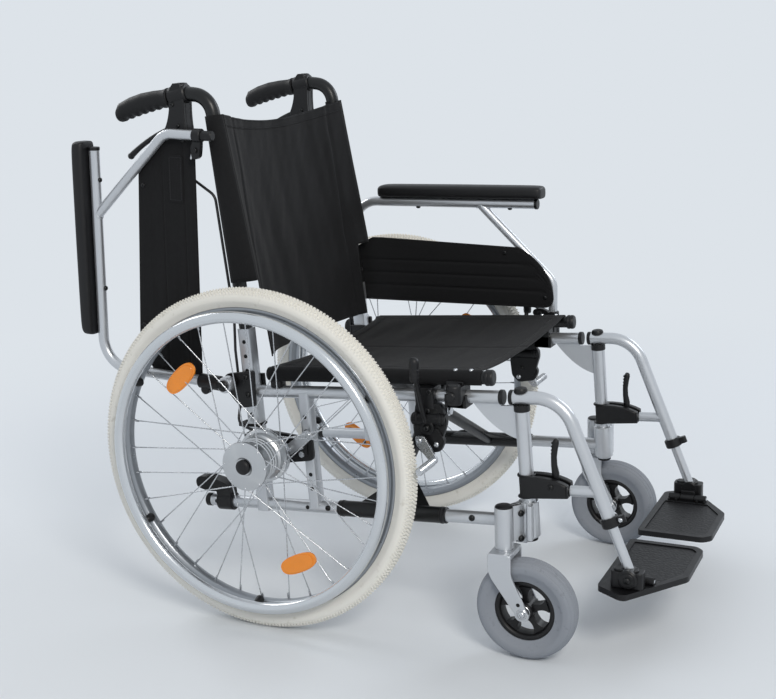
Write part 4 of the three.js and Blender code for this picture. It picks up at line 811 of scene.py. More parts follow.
spots = [((236, lever_pivot.y, lever_pivot.z), OUTWARDS),
         ((208, lever_pivot.y, lever_pivot.z), (-1, 0, 0)),
         (clamp_middle + Vector((14, 9, -16)), OUTWARDS)]
stamp_pair("housing_screws", spots, dome_head, black_steel, "frame", size=0.8)
print("back tubes done")

# %% [markdown]
# The grip is soft rubber, shaped for a hand: full in the middle, thin at its rounded end, and with
# scallops below for the fingers. Its section changes along its length, so a row of oval sections is
# lofted. A table gives each station its distance from the end, its shift upwards, and its half
# height and half width.
# %% Push grips
grip_table = [(3, -7.5, 8, 8), (4.5, -7, 12, 12.5), (8, -6, 14.5, 14.5), (15, -3.6, 17, 15.5),
              (35, -0.6, 18.3, 15.8), (60, 1.2, 18.4, 15.8), (85, 1, 17.3, 15.6),
              (105, 0, 16, 15.5), (112, 0, 16.2, 16.2), (115, 0, 17, 17), (117, 0, 17, 17),
              (118, 0, 16.2, 16.2)]
FINGER = 15
handle_up = Vector((0, math.sin(HANDLE_DROP), math.cos(HANDLE_DROP)))


def grip_section(distance):
    for near, far in zip(grip_table, grip_table[1:]):
        if distance <= far[0]:
            share = max(0.0, (distance - near[0]) / (far[0] - near[0]))
            rise, tall, wide = [near[k] + (far[k] - near[k]) * share for k in (1, 2, 3)]
            break
    scallop = 0
    if FINGER < distance < 7 * FINGER:
        scallop = 1.3 - 1.3 * math.cos(2 * math.pi * (distance - FINGER) / FINGER)
    ring = []
    for k in range(36):
        c, s = math.cos(2 * math.pi * k / 36), math.sin(2 * math.pi * k / 36)
        height = rise + s * (tall - scallop * max(0.0, -s) ** 0.7)
        ring.append(handle(distance) + handle_up * height + Vector((c * wide, 0, 0)))
    return ring


grip_stations = [3, 3.6, 4.5, 6, 8, 11] + [FINGER + 2.5 * k for k in range(37)]
grip_stations += [108, 112, 113.5, 115, 117, 118]
form = Form().add(lofted([grip_section(distance) for distance in grip_stations]))
pair("grip", form, [grip_rubber], "frame", "push_grip", "grip", crease=60)
print("grips done")

# %% [markdown]
# The brake lever is a curved bar that ends in a ball, for safety. It follows one line, thick at the
# pivot and slender in the middle, so a swept tube with changing radii fits it.
# %% Attendant brake levers
line = [(-7, 0)] + arc((0, 0), (66, -14), (113, -53), 14)
path = [lever_pivot + Vector((0, y, z)) for y, z in line]
radii = [5.6, 5.9, 5.9, 5.8, 5.6, 5.4, 5.2, 5.0, 4.8, 4.7, 4.6, 4.6, 4.7, 5.0, 5.4, 5.4]
form = Form().add(tube(path, radii, 16, 1.5))
ball = [(0.6, -6.2), (3.4, -5.2), (5.4, -3), (6.1, 0), (5.4, 3), (3.4, 5.2), (0.6, 6.2)]
form.add(stack(lambda x: path[-1] + Vector((x, 0, 0)), ball, 16))
pair("brake_lever", form, [black_plastic], "drum_lever", "drum_brake_lever", "black_plastic",
     crease=70)
print("levers done")

# %% [markdown]
# The tyre is solid cream rubber: smooth sides, a rounded crown and a knurled tread. The body is a
# turned ring. The tread is hundreds of tiny rubber blocks in rows, each row shifted by half a step.
# A Geometry Nodes tree sets them: one circle of points for each row, one block on each point,
# turned to face away from the axle.
# %% A tree that repeats a shape round an axle
ring_tree, ring_keys, given = node_tree(
    "ring_of_shapes", {"Shape": "Object", "Radius": "Float", "Count": "Int", "Finish": "Material"})


def ring_node(kind, inputs=None, **settings):
    return add_node(ring_tree, kind, inputs, **settings)


circle = ring_node("GeometryNodeMeshCircle",
                   {"Vertices": given["Count"], "Radius": given["Radius"]})["Mesh"]
standing = ring_node("GeometryNodeTransform",
                     {"Geometry": circle, "Rotation": (0, math.pi / 2, 0)})["Geometry"]
phase = ring_node("GeometryNodeInputNamedAttribute", {"Name": "phase"},
                  data_type="FLOAT")["Attribute"]
spin = ring_node("ShaderNodeCombineXYZ", {"X": phase})["Vector"]
spin = ring_node("FunctionNodeEulerToRotation", {"Euler": spin})["Rotation"]
rows = ring_node("GeometryNodeInstanceOnPoints", {
    "Points": given["Geometry"], "Instance": standing, "Rotation": spin})["Instances"]
row_points = ring_node("GeometryNodeRealizeInstances", {"Geometry": rows})["Geometry"]
split = ring_node("ShaderNodeSeparateXYZ",
                  {"Vector": ring_node("GeometryNodeInputPosition")["Position"]})
radial = ring_node("ShaderNodeCombineXYZ", {"Y": split["Y"], "Z": split["Z"]})["Vector"]
away = ring_node("FunctionNodeAlignRotationToVector", {"Vector": radial}, axis="Z")["Rotation"]
across = ring_node("FunctionNodeAlignRotationToVector", {"Rotation": away, "Vector": OUTWARDS},
                   axis="X", pivot_axis="Z")["Rotation"]
shape = ring_node("GeometryNodeObjectInfo", {"Object": given["Shape"]})["Geometry"]
copies = ring_node("GeometryNodeInstanceOnPoints", {
    "Points": row_points, "Instance": shape, "Rotation": across})["Instances"]
painted_end(ring_tree, copies, given)


def ringed(name, row_list, shape, radius, count, paint, centre, body, side):
    """Rows of a small shape round an axle. Each row is (x, phase as a share of one step)."""
    carrier = bpy.data.meshes.new(name + "_rows")
    mirror = -1 if side == "right" else 1
    carrier.from_pydata([(mirror * x / 1000, 0, 0) for x, _ in row_list], [], [])
    turns = carrier.attributes.new("phase", "FLOAT", "POINT")
    turns.data.foreach_set("value", [2 * math.pi * share / count for _, share in row_list])
    values = {"Shape": shape, "Radius": radius / 1000, "Count": count, "Finish": paint}
    made = grown(name, carrier, ring_tree, ring_keys, values, body)
    made.data.transform(Matrix.Translation(placed((0, *centre))))


def tread_block(name, half_x, half_y, top, height):
    """A block that narrows towards its top."""
    foot = [(-half_x, -half_y, -1), (half_x, -half_y, -1), (half_x, half_y, -1),
            (-half_x, half_y, -1)]
    return small_shape(name, foot + [(x * top, y * top, height) for x, y, _ in foot], skin(2, 4))


knob = tread_block("tread_knob", 1.8, 1.7, 0.6, 2.7)
print("ring tree ready")

# %% Rear tyres
WHEEL = (0, 303)
WHEEL_X = 309


def on_wheel(x, reach, angle):
    return Vector((x, WHEEL[0] + reach * math.cos(angle), WHEEL[1] + reach * math.sin(angle)))


def tyre_section(radius, half, inner, inner_half, centre_x, crown, power=2.4, steps=26,
                 grooves=()):
    """A superellipse of (radius, x) from one bead to the other, with optional grooves."""
    middle = (radius + inner) / 2 + crown
    profile = [(inner, centre_x - inner_half)]
    for k in range(steps + 1):
        angle = math.pi * (-0.16 + 1.32 * k / steps)
        c, s = math.cos(angle), math.sin(angle)
        x = -half * math.copysign(abs(c) ** (2 / power), c)
        reach = (radius - middle) * math.copysign(abs(s) ** (2 / power), s)
        depth = sum(d * math.exp(-(((x - g) / w) ** 2)) for g, d, w in grooves)
        profile.append((middle + reach - depth * max(0, s), centre_x + x))
    return profile + [(inner, centre_x + inner_half)]


section = tyre_section(300.3, 17.6, 272, 12.5, WHEEL_X, 1.0)
pair("tyre_body", Form().add(turned(section, WHEEL, 180)), [cream_rubber], "wheel", "rear_tyre",
     "cream_tyre", crease=60)
tread = {"crown": (300.3, [(-7.2, 0), (-2.4, 0.5), (2.4, 0), (7.2, 0.5)]),
         "shoulder": (298.3, [(-11.6, 0), (11.6, 0.5)]), "edge": (295.3, [(-14.6, 0.5), (14.6, 0)])}
for side in SIDES:
    for label, (height, offsets) in tread.items():
        ringed(f"{side}_tread_{label}", [(WHEEL_X + x, share) for x, share in offsets], knob,
               height, 288, cream_rubber, WHEEL, side + "_wheel", side)
print("tyres done")

# %% [markdown]
# The rim is an aluminium channel with rolled edges. Its spokes end in small nipples, two rows of
# them, slightly off the middle. The handrim is a bright tube that the user pushes. It stands off
# the rim on six short black posts that taper towards the tube.
# %% Rims and handrims
rim_profile = soften([(271.8, 296.5), (271.8, 321.5), (268.5, 322.6), (263, 322.4), (256, 316.5),
                      (254.6, 309), (256, 301.5), (263, 295.6), (268.5, 295.4)], 2.2, 3)
form = Form().add(turned(rim_profile, WHEEL, 180))
pair("rim_channel", form, [rim_metal], "wheel", "rear_rim", "rim", crease=50)
nipple = small_turned("spoke_nipple", [(2.1, 1), (2.1, -4), (1.5, -9), (1.2, -11)], 8)
for side in SIDES:
    ringed(side + "_nipples", [(WHEEL_X + 3, 0), (WHEEL_X - 3, 0.5)], nipple, 255, 16, bolt_metal,
           WHEEL, side + "_wheel", side)
angles = [2 * math.pi * k / 20 for k in range(20)]
rim_loop = [(259 + 10 * math.cos(a), 341 + 10 * math.sin(a)) for a in angles]
form = Form().add(turned(rim_loop, WHEEL, 180))
for k in range(6):
    angle = 2 * math.pi * (k + 0.5) / 6
    path = [on_wheel(x, reach, angle)
            for x, reach in ((320, 253), (324, 253), (330, 254.5), (335, 256.5))]
    form.add(tube(path, [8.2, 7.8, 6.6, 6], 16, 0.8), 1)
pair("handrim_tube", form, [bright_metal, black_plastic], "wheel", "handrim", "polished",
     crease=60)
print("rims done")

# %% [markdown]
# The hub is a polished drum with a brake inside. Its outer disc was faced on a lathe, so it shines
# in fine rings. A wave texture on the distance from the axle makes those cuts, as a very low bump.
# The tangent runs round the axle, so the anisotropic gloss spreads into two bright fans, as on any
# turned disc.
# %% Turned hub metal
hub_metal = finish("turned_hub_metal", "c4c6c8", 0.3, 1.0, 0.06, 900, 0.000004, 30, 0.04,
                   Anisotropic=0.85)
tree = hub_metal.node_tree
values = {"Vector": add_node(tree, "ShaderNodeTexCoord")["Object"],
          "Location": -placed((0, *WHEEL))}
centred = add_node(tree, "ShaderNodeMapping", values)["Vector"]
values = {"Vector": centred, "Scale": 110, "Distortion": 1.2}
ripples = add_node(tree, "ShaderNodeTexWave", values, wave_type="RINGS", rings_direction="X")
carve(hub_metal, ripples["Fac"], 0.000003)
tangent = add_node(tree, "ShaderNodeTangent", direction_type="RADIAL", axis="X")["Tangent"]
tree.links.new(tangent, tree.nodes["Principled BSDF"].inputs["Tangent"])
print("hub metal ready")

# %% [markdown]
# Thirty-two spokes are laced in pairs. Half start at each flange, and they lean forwards and back
# by turns, so that the wheel can carry both drive and braking. Each spoke is a line from flange to
# rim, and the wire tree gives it its thickness. Two orange reflectors are clipped between the
# spokes.
# %% Hubs and spokes
hub_profile = [(6.4, 276), (40, 276), (46.6, 276.4), (47.2, 277.4), (47.2, 280), (46.6, 281),
               (42, 282), (40.6, 284), (40, 289), (38, 291), (36.4, 293)]
for x in (297, 305, 313):
    hub_profile += [(36, x), (37.4, x + 1), (37.4, x + 3), (36, x + 4)]
hub_profile += [(36, 332), (37, 336), (42.4, 340), (43.2, 341), (43.2, 344.6), (42.6, 345.4),
                (36, 346.6), (31, 347.8), (17, 347.9), (15, 347), (6.4, 347)]
pair("drum_hub", Form().add(turned(hub_profile, WHEEL, 96)), [hub_metal], "wheel", "wheel_hub",
     "polished", crease=24)
lines, heads = [], []
for k in range(32):
    outside, lean = k % 2 == 0, 1 if k % 4 < 2 else -1
    rim_angle = 2 * math.pi * k / 32
    hub_angle = rim_angle + lean * math.radians(46)
    start_x, start_reach, rim_x = (342.5, 39.5, 3) if outside else (278.5, 43.5, -3)
    start = on_wheel(start_x + lean * 1.6, start_reach, hub_angle)
    lines.append([start, on_wheel(WHEEL_X + rim_x + lean * 1.6, 255, rim_angle)])
    heads.append((start + Vector((lean * 1.4, 0, 0)), (lean, 0, 0)))
for side in SIDES:
    wires(side + "_spokes", lines, 1.05, bolt_metal, side + "_wheel", side)
stamp_pair("spoke_heads", heads, spoke_head, bolt_metal, "wheel")
print("hubs done")

# %% Reflectors
REFLECTOR_ANGLES = {"right": (46.6, -115.3), "left": (-51.8, 146.3)}
orange_lens = finish("orange_reflector", "f08c0a", 0.22, 0.0, 0.12, 260, 0.0006, 30, 0.06,
                     Coat_Weight=0.6)


def rounded(angle):
    """Sine and cosine, pulled towards the corners of a box."""
    c, s = math.cos(angle), math.sin(angle)
    return math.copysign(abs(c) ** 0.8, c), math.copysign(abs(s) ** 0.8, s)


for side in SIDES:
    form = Form()
    for angle in map(math.radians, REFLECTOR_ANGLES[side]):
        along = Vector((0, -math.sin(angle), math.cos(angle)))
        outwards = Vector((0, math.cos(angle), math.sin(angle)))
        middle = on_wheel(0, 192, angle)
        for from_x, to_x, scale in ((317.4, 318.6, 0.9), (318.6, 323.2, 1), (323.2, 324.4, 0.86)):
            shares = [rounded(2 * math.pi * k / 36) for k in range(36)]
            oval = [middle + (along * 37 * c + outwards * 16 * s) * scale for c, s in shares]
            form.add(plate([(p.y, p.z) for p in oval], from_x, to_x))
        for reach in (-22, 22):
            clip = middle + along * reach
            form.add(block((315.5, clip.y - 3, clip.z - 3), (318, clip.y + 3, clip.z + 3), 1), 1)
    piece(side + "_reflectors", form, [orange_lens, black_plastic], side + "_wheel", side,
          bevel=0.7)
print("reflectors done")

# %% [markdown]
# Behind the hub sits the fixed part: a bracket bolted across both posts, the brake's back plate and
# the axle with its black dome cap. A bright lever arm and the cable's clamp show between the
# spokes.
# %% Axle brackets
form = Form()
outline = on_rail([(-54, 88), (-54, 136), (-22, 146), (84, 132), (84, 92), (-16, 80)])
form.add(plate(soften(outline, 9), 235.3, 242.3))
outline = on_rail([(-44, 96), (-44, 128), (-20, 136), (74, 124), (74, 100), (-12, 90)])
form.add(plate(soften(outline, 6), 242, 245.5))
form.add(pin(*WHEEL, 235.3, 263, 15, chamfer=1.5))
back_plate = [(4, 262), (30, 262), (33, 263.4), (41, 264), (46, 266), (47, 268), (47, 275.3),
              (4, 275.3)]
form.add(turned(back_plate, WHEEL, 64), 1)
form.add(pin(*WHEEL, 262, 349, 6), 1)
form.add(plate(soften([(8, 329), (46, 323), (52, 299), (20, 289)], 8), 256, 263), 2)
form.add(rod((257.5, 20, 334), (257.5, 44, 318), 5.5, 5.5, 12), 1)
arm = soften([(-22, 310), (-28, 297), (-38, 299), (-84, 334), (-80, 343), (-70, 347)], 4, 3)
form.add(plate(arm, 247, 251), 2)
form.add(pin(-75, 338, 244, 254, 4.4, 16), 1)
form.add(pin(-34, 308, 246, 262, 4.4, 16), 1)
cap = [(12.8, 348.3), (13, 349), (13, 351.2), (12, 353), (9.4, 354.4), (5, 355.2), (0.6, 355.4)]
form.add(stack(lambda x: (x, *WHEEL), cap, 32))
pair("axle_mount", form, [black_plastic, bolt_metal, silver], "frame", "axle_bracket",
     "black_plastic", bevel=0.7)
spots = [(rail(245.4, u, w), OUTWARDS)
         for u, w in ((REAR_U, 118), (REAR_U, 100), (64, 118), (64, 104))]
stamp_pair("axle_bolts", spots, hex_head, bolt_metal, "frame", size=1.1)
print("axle mounts done")

# %% [markdown]
# A caster is a small front wheel that turns in every direction. Its grey solid tyre has five fine
# grooves, and its rim is moulded black plastic: a ring, a hub and five spokes that widen at both
# ends.
# %% Caster wheels
CASTER = (-476, 85.5)
CASTER_X = 265
STEM_Y = -438
grooves = [(-9, 2.8, 1.4), (0, 2.8, 1.4), (9, 2.8, 1.4), (-17, 2.0, 1.2), (17, 2.0, 1.2)]
section = tyre_section(85.4, 21, 51.4, 15, CASTER_X, 3, 2.5, 90, grooves)
pair("caster_tyre_body", Form().add(turned(section, CASTER, 120)), [gray_rubber], "caster_wheel",
     "caster_tyre", "gray_tyre", crease=50)

ring_profile = [(51.2, 250.5), (51.2, 279.5), (45.5, 280.6), (42, 276), (41.5, 265), (42, 254),
                (45.5, 249.4)]
hub_ring = [(6.6, 244.2), (13, 244.2), (15.4, 248), (15.4, 282), (13, 285.8), (6.6, 285.8)]
form = Form().add(turned(soften(ring_profile, 2, 3), CASTER, 96))
form.add(turned(soften(hub_ring, 1.6, 2), CASTER, 48))
spoke = [(-8.5, 13), (-5, 20), (-4.6, 30), (-8, 38), (-13, 43), (13, 43), (8, 38), (4.6, 30),
         (5, 20), (8.5, 13)]
for k in range(5):
    angle = 2 * math.pi * k / 5 + math.pi / 2
    c, s = math.cos(angle), math.sin(angle)
    offsets = [(reach * c - a * s, reach * s + a * c) for a, reach in soften(spoke, 4, 3)]
    for from_x, to_x, scale in ((256, 274, 1), (254, 276, 0.94)):
        outline = [(CASTER[0] + y * scale, CASTER[1] + z * scale) for y, z in offsets]
        form.add(plate(outline, from_x, to_x))
bearing = soften([(6.8, -21.4), (11.5, -21.4), (11.5, -19), (6.8, -19)], 0.6, 1)
for m in (1, -1):
    form.add(turned([(reach, CASTER_X + m * x) for reach, x in bearing], CASTER, 32), 1)
pair("caster_rim_moulding", form, [black_plastic, bolt_metal], "caster_wheel", "caster_rim",
     "black_plastic", bevel=0.9)
print("caster wheels done")

# %% [markdown]
# The wheel runs in a silver fork, whose flat legs taper down to the axle bolt. The fork's stem
# turns in an upright housing with a black cap.
# %% Caster forks
leg_line = [(-418, 184), (-458, 184), (-458, 148), (-488, 82.5)]
leg_line += arc((-488, 82.5), (-487, 72.5), (-476, 72.5), 5)[1:]
leg_line += arc((-476, 72.5), (-464, 72.5), (-463, 85.5), 5)[1:] + [(-424, 140), (-418, 154)]
form = Form()
for inner in (CASTER_X - 29, CASTER_X + 24):
    form.add(plate(soften(leg_line, 6, 3), inner, inner + 5))
crown = soften([(237, -457), (293, -457), (293, -419), (237, -419)], 8, 5)
form.add(prism([(*p, 174.5) for p in crown], (0, 0, 9.2)))


def stem(height):
    return Vector((CASTER_X, STEM_Y, height))


form.add(rod(stem(183), stem(186.8), 14), 1)
form.add(rod(stem(186), stem(248), 7), 1)
form.add(pin(*CASTER, 238, 292, 6), 1)
for m in (1, -1):
    form.add(pin(*CASTER, CASTER_X + m * 28.6, CASTER_X + m * 30.4, 9.5), 1)
pair("fork_plates", form, [silver, bolt_metal], "caster_fork", "caster_fork", "silver", bevel=1.0)
spots = [((CASTER_X + m * 30.4, *CASTER), (m, 0, 0)) for m in (1, -1)]
stamp_pair("fork_nuts", spots, dome_head, bolt_metal, "caster_fork", size=1.25)
spots = [((CASTER_X + m * 29, -470, 101), (m, 0, 0)) for m in (1, -1)]
# Painted shade: flat dark discs stand where the holes in the fork legs are.
stamp_pair("fork_holes", spots, hole_disc, hole_shade_paint, "caster_fork", size=0.9)
print("forks done")

# %% [markdown]
# The housing is held by a split clamp: a sleeve round the front post, a web with two slits and
# two ears. The slits are thin blocks with painted shade in them. Its bolts sit on the outer front
# face.
# %% Stem clamps
form = Form().add(rod(stem(186), stem(256), 15.5, chamfer=1.2))
cap = [(14.6, 255.5), (14.6, 257), (13.2, 258.4), (9, 259.2), (1, 259.4)]
form.add(stack(stem, cap, 32), 1)
form.add(rail_rod((POST_U, -24), (POST_U, 36), 17))
post = rail(PLANE, POST_U, 6)
reach = Vector((CASTER_X - PLANE, STEM_Y - post.y, 0))
aside = Vector((-reach.y, reach.x, 0)).normalized()
foot = Vector((PLANE, post.y, post.z - 30))


def web_part(corners, shift, height):
    """An upright prism between the post (0) and the stem (1)."""
    return prism([foot + reach * s + aside * (t + shift) for s, t in corners], (0, 0, height))


form.add(web_part(((0.02, -9), (0.98, -7), (0.98, 7), (0.02, 9)), 0, 60))
for shift in (-3.2, 3.2):
    # The slits: thin blocks in the painted shade finish, standing for the shade in the gaps.
    form.add(web_part(((0.3, -1), (0.72, -1), (0.72, 1), (0.3, 1)), shift, 60.6), 2)
for shift in (-12.5, 9.5):
    ear = foot + aside * shift + Vector((14, 0, 0))
    form.add(block((ear.x - 7, ear.y - 2.6, ear.z), (ear.x + 7, ear.y + 5.6, ear.z + 60), 1.5))
form.add(plate([(-468.5, 188), (-449, 188), (-449, 256), (-468.5, 256)], 232, 241))
pair("stem_clamp", form, [silver, black_plastic, hole_shade_paint], "frame", "caster_housing", "silver",
     bevel=0.8)
spots = [((246.4, -460.9, z), (0.559, -0.829, 0)) for z in (197.5, 241)]
spots.append(((232.8, -369, 216.4), OUTWARDS))
stamp_pair("clamp_bolts", spots, dome_head, black_steel, "frame", size=1.1)
print("clamps done")

# %% [markdown]
# The legrest hangs from the front post: a silver tube bends forwards and down, and an inner tube
# slides in it to fit the user's leg. Black caps close its rear end and the pivot on top. A ring
# with a small ear clamps the inner tube.
# %% Legrest tubes
form = Form()
form.add(tube(bend([rail(PLANE, 449, UPPER), hanger_knee, hanger_end], 62, 4), RAIL))
latch_front = rail(PLANE, 541.3, 57)
leg_axis = rail(PLANE, 537 + (UPPER - 57) * math.tan(LEG_LEAN - PITCH), 57)
form.add(rod(latch_front, leg_axis, 9))
form.add(weld(leg_axis, leg_way, latch_front - leg_axis, 9, RAIL, 1.4))
form.add(rail_rod((448.8, UPPER), (455, UPPER), 12.6), 1)
form.add(rail_rod((POST_U, UPPER - 70), (POST_U, UPPER + 12), 7), 1)
cap = [(11.2, 9), (11.2, 13), (9.8, 16), (6, 17.4), (1, 17.8)]
form.add(stack(lambda w: rail(PLANE, POST_U, UPPER + w), cap), 1)
form.add(rod(leg(hanger_end, -14), leg(hanger_end, 2), 15.6, chamfer=1.6), 1)
normal = Vector((0, leg_way.z, -leg_way.y))
middle = leg(hanger_end, -6)
ear = [middle + normal * a + Vector((b, 0, 0))
       for a, b in ((8, -6), (24, -6), (27, 0), (24, 6), (8, 6))]
form.add(prism([leg(p, -6) for p in soften(ear, 2.5, 3)], leg_way * 12), 1)
pair("hanger_tube", form, [silver, black_plastic], "legrest", "hanger", "silver", bevel=0.8)
spots = [(middle + normal * 19 + Vector((6, 0, 0)), OUTWARDS)]
stamp_pair("collar_screw", spots, dome_head, bolt_metal, "legrest", size=0.8)
print("legrests done")

# %% [markdown]
# A moulded latch locks the legrest to the post. Its shell is four plates, the outer two a little
# smaller. The lever stands upright beside the post, with four small ribs for the thumb.
# %% Latch housings and levers
outline = on_rail([(460, 44), (541, 48), (541, 69)] + arc((541, 69), (511, 85), (460, 81), 7)[1:])
centre = sum((Vector(p) for p in outline), Vector((0, 0))) / len(outline)
form = Form()
for from_x, to_x, scale in ((203.2, 205.5, 0.93), (205.5, 216.4, 1), (227.6, 238.5, 1),
                            (238.5, 240.8, 0.93)):
    form.add(plate([centre + (Vector(p) - centre) * scale for p in outline], from_x, to_x))
floor_line = [(460, 44), (541, 48), (541, 58), (480, 60), (480, 80), (460, 80)]
form.add(plate(on_rail(floor_line), 216, 228))
form.add(rail_rod((POST_U, 43.6), (POST_U, 46), 16.5))
form.add(rail_rod((POST_U, 79), (POST_U, 82.5), 15.4))
pair("latch_moulding", form, [black_plastic], "legrest", "latch_housing", "black_plastic",
     bevel=1.6)
LATCH_U, LATCH_W = POST_U + 50, 77
latch_pivot = rail(240.9, LATCH_U, LATCH_W)
stamp_pair("latch_screw", [(latch_pivot + Vector((0, 3, -10)), OUTWARDS)], dome_head, black_steel,
           "legrest", size=0.9)
lean = [(0, -6), (0, 8), (-1.5, 22), (-1.2, 36), (1.2, 50), (3.4, 60), (5, 66)]
path = [rail(PLANE, LATCH_U + u, LATCH_W + w) for u, w in lean]
form = Form().add(tube(path, [5.6, 6.2, 5.2, 4.9, 5.2, 5.6, 4.2], 16, 1.5))
for k in range(4):
    middle = rail(PLANE, LATCH_U - 3.5 + k * 0.6, LATCH_W + 42 + k * 6)
    rib = [(1.2, -5), (1.9, -3), (1.9, 3), (1.2, 5)]
    form.add(stack(lambda x: middle + Vector((x, 0, 0)), rib, 8, 0.2))
pair("latch_grip", form, [black_plastic], "latch_lever", "latch_lever", "black_plastic", crease=60)
print("latches done")

# %% [markdown]
# The lower end of each legrest is a round inner tube that stands in a moulded foot. The foot has a
# round hub, a screw and a hinge, and the footplate flips up about that hinge.
# %% Inner leg tubes and feet
HINGE_X, HINGE_Z = 203, 134


def hinge(along):
    """A point on the footplate's hinge, so far behind its middle."""
    return Vector((HINGE_X, foot_pivot.y + along, HINGE_Z))


def foot_block(from_x, to_x, front, rear, low, high, corner):
    y = foot_pivot.y
    return block((from_x, y + front, low), (to_x, y + rear, high), corner)


form = Form()
form.add(rod(leg(hanger_end, -105), leg(hanger_end, 84), 8.4), 0)
form.add(pin(foot_pivot.y, 147, 212, 242, 16, chamfer=2.4), 1)
form.add(pin(foot_pivot.y, 147, 241.5, 243.5, 11.5), 1)
form.add(foot_block(HINGE_X, 222, -12.8, 12.8, 130.6, 147.5, 2), 1)
form.add(foot_block(212.4, 237.6, -23.5, 29.5, 130.6, 158, 7), 1)
form.add(foot_block(216, 234, -15, 25, 157, 161, 7), 1)
form.add(rod(hinge(-12.9), hinge(12.9), 7.4), 1)
pair("leg_foot", form, [silver, black_plastic], "extension", "leg_extension", "silver", bevel=1.2)
stamp_pair("foot_screw", [((243.4, foot_pivot.y, 147), OUTWARDS)], dome_head, black_steel,
           "extension", size=1.15)
print("feet done")

# %% [markdown]
# The footplate is a moulded tray: a rim round a sunken tread, cut corners, and ribs beside the
# hinge. The tread has a pebbled grip pattern. That is a Voronoi texture used as a bump, which costs
# no faces at all.
# %% Pebbled tread finish
tread_finish = finish("pebbled_tread", "101012", 0.5, 0.0, 0.15, 500, 0.00003, 20, 0.08,
                      worn="1c1c1e", Specular_IOR_Level=0.36)
tree = tread_finish.node_tree
values = {"Vector": add_node(tree, "ShaderNodeTexCoord")["Object"], "Scale": 230}
pebbles = add_node(tree, "ShaderNodeTexVoronoi", values, feature="SMOOTH_F1")["Distance"]
carve(tread_finish, pebbles, 0.0007, invert=True)
print("tread finish ready")

# %% Footplates
tray = [(22, -585), (236, -585), (262, -627), (262, -637), (154, -715), (36, -715), (22, -701)]
sunk = [(33, -594), (188, -594), (188, -682), (143, -705), (44, -705), (33, -694)]
outer, inner = soften(tray, 7, 4), soften(sunk, 5, 4)
form = Form().add(prism([(*p, 120) for p in outer], (0, 0, 7.4)))
form.add(prism([(*p, 127.3) for p in inner], (0, 0, 0.5)), 1)
edge = []
for p in outer:
    near = min(inner, key=lambda q: (q[0] - p[0]) ** 2 + (q[1] - p[1]) ** 2)
    edge.append([(*p, 127), (*p, 130), (*near, 130), (*near, 127)])
form.add(hoop(edge))
for k in (0, 1, 4, 5):
    form.add(foot_block(190, 201, -35 + k * 13.2, -31 + k * 13.2, 129, 134, 0.8))
form.add(rod(hinge(13.4), hinge(35), 7.4)).add(rod(hinge(-35), hinge(-13.4), 7.4))
form.add(rod(hinge(-36), hinge(36), 3.4), 2)
pair("foot_tray", form, [black_plastic, tread_finish, bolt_metal], "footplate", "footplate",
     "black_plastic", bevel=1.1)
print("footplates done")

# %% [markdown]
# The armrest is a silver tube: a tall rear leg, a long top under the pad, and a diagonal strut that
# ends in the front socket, in a black collar with a catch. A black sleeve and a knob sit on the
# rear leg. In this picture the right armrest is folded back behind the chair, so all its pieces are
# drawn once and turned about the pivot. Small screws hold the pad from below.
# %% Armrest tubes
ARM_X = 260


def arm_path(*points):
    return [(ARM_X, y, z) for y, z in points]


def arm_rod(start, end, radius, **more):
    return rod(*arm_path(start, end), radius, **more)


form = Form()
form.add(tube(bend(arm_path((79, 420), (74, 681), (-322, 680)), 55, 5), 9.4))
form.add(tube(bend(arm_path((-206, 678), (-355, 530), (-354, 458)), 34, 5), 8.7))
form.add(arm_rod((-354, 458), (-354, 432.4), 8.6, chamfer=1.6), 1)
form.add(arm_rod((-354, 453.6), (-354, 470), 12, chamfer=1.4), 1)
catch = [(-349, 468), (-333, 475), (-317, 473), (-313, 466), (-318, 458), (-333, 456), (-349, 455)]
form.add(plate(soften(catch, 4, 3), 255, 265), 1)
form.add(pin(-329, 466, 251.5, 268.5, 4.6, 16), 1)
form.add(arm_rod((-327, 474), (-313.5, 477.5), 1.9, sides=10, chamfer=0.4), 2)
form.add(arm_rod((78.6, 430), (77.8, 474), 13.2, chamfer=1.8), 1)
form.add(pin(92, 461, 252, 268, 8.6, 20, 2), 1)
form.add(weld((ARM_X, -208, 680), (0, 1, 0), (0, 0, -1), 8.7, 9.4, 1.4))
form.add(arm_rod((-320, 680), (-326, 680), 10.2), 1)
eye = [(7.3, 249.6), (13, 249.6), (14, 251), (14, 269), (13, 270.4), (7.3, 270.4)]
form.add(turned(eye, ARM_PIVOT, 40))
pair("arm_tube", form, [silver, black_plastic, bolt_metal], "armrest", "armrest_tube", "silver",
     on_armrest=True)
spots = [((ARM_X, y, 670.6), (0, 0, -1)) for y in (-268, -72)]
stamp_pair("pad_screws", spots, dome_head, black_steel, "armrest", on_armrest=True, size=0.9)
print("arm tubes done")

# %% [markdown]
# The arm pad is foam with a tight black skin. Its section is a crowned, rounded form that shrinks
# towards both ends. A row of sections is joined into a closed mesh, and a Subdivision Surface makes
# it soft.
# %% Arm pads


def pad_section(y, narrow):
    half, top, foot = 23 - narrow, 715.6 - narrow * 0.7, 689.9 + narrow * 0.2
    shape = []
    for k in range(28):
        angle = 2 * math.pi * (k + 0.5) / 28
        c, s = math.cos(angle), math.sin(angle)
        x = half * math.copysign(abs(c) ** 0.55, c)
        height = math.copysign(abs(s) ** 0.6, s)
        shape.append((ARM_X + 3 + x, y, (top + foot) / 2 + (top - foot) / 2 * height))
    return shape


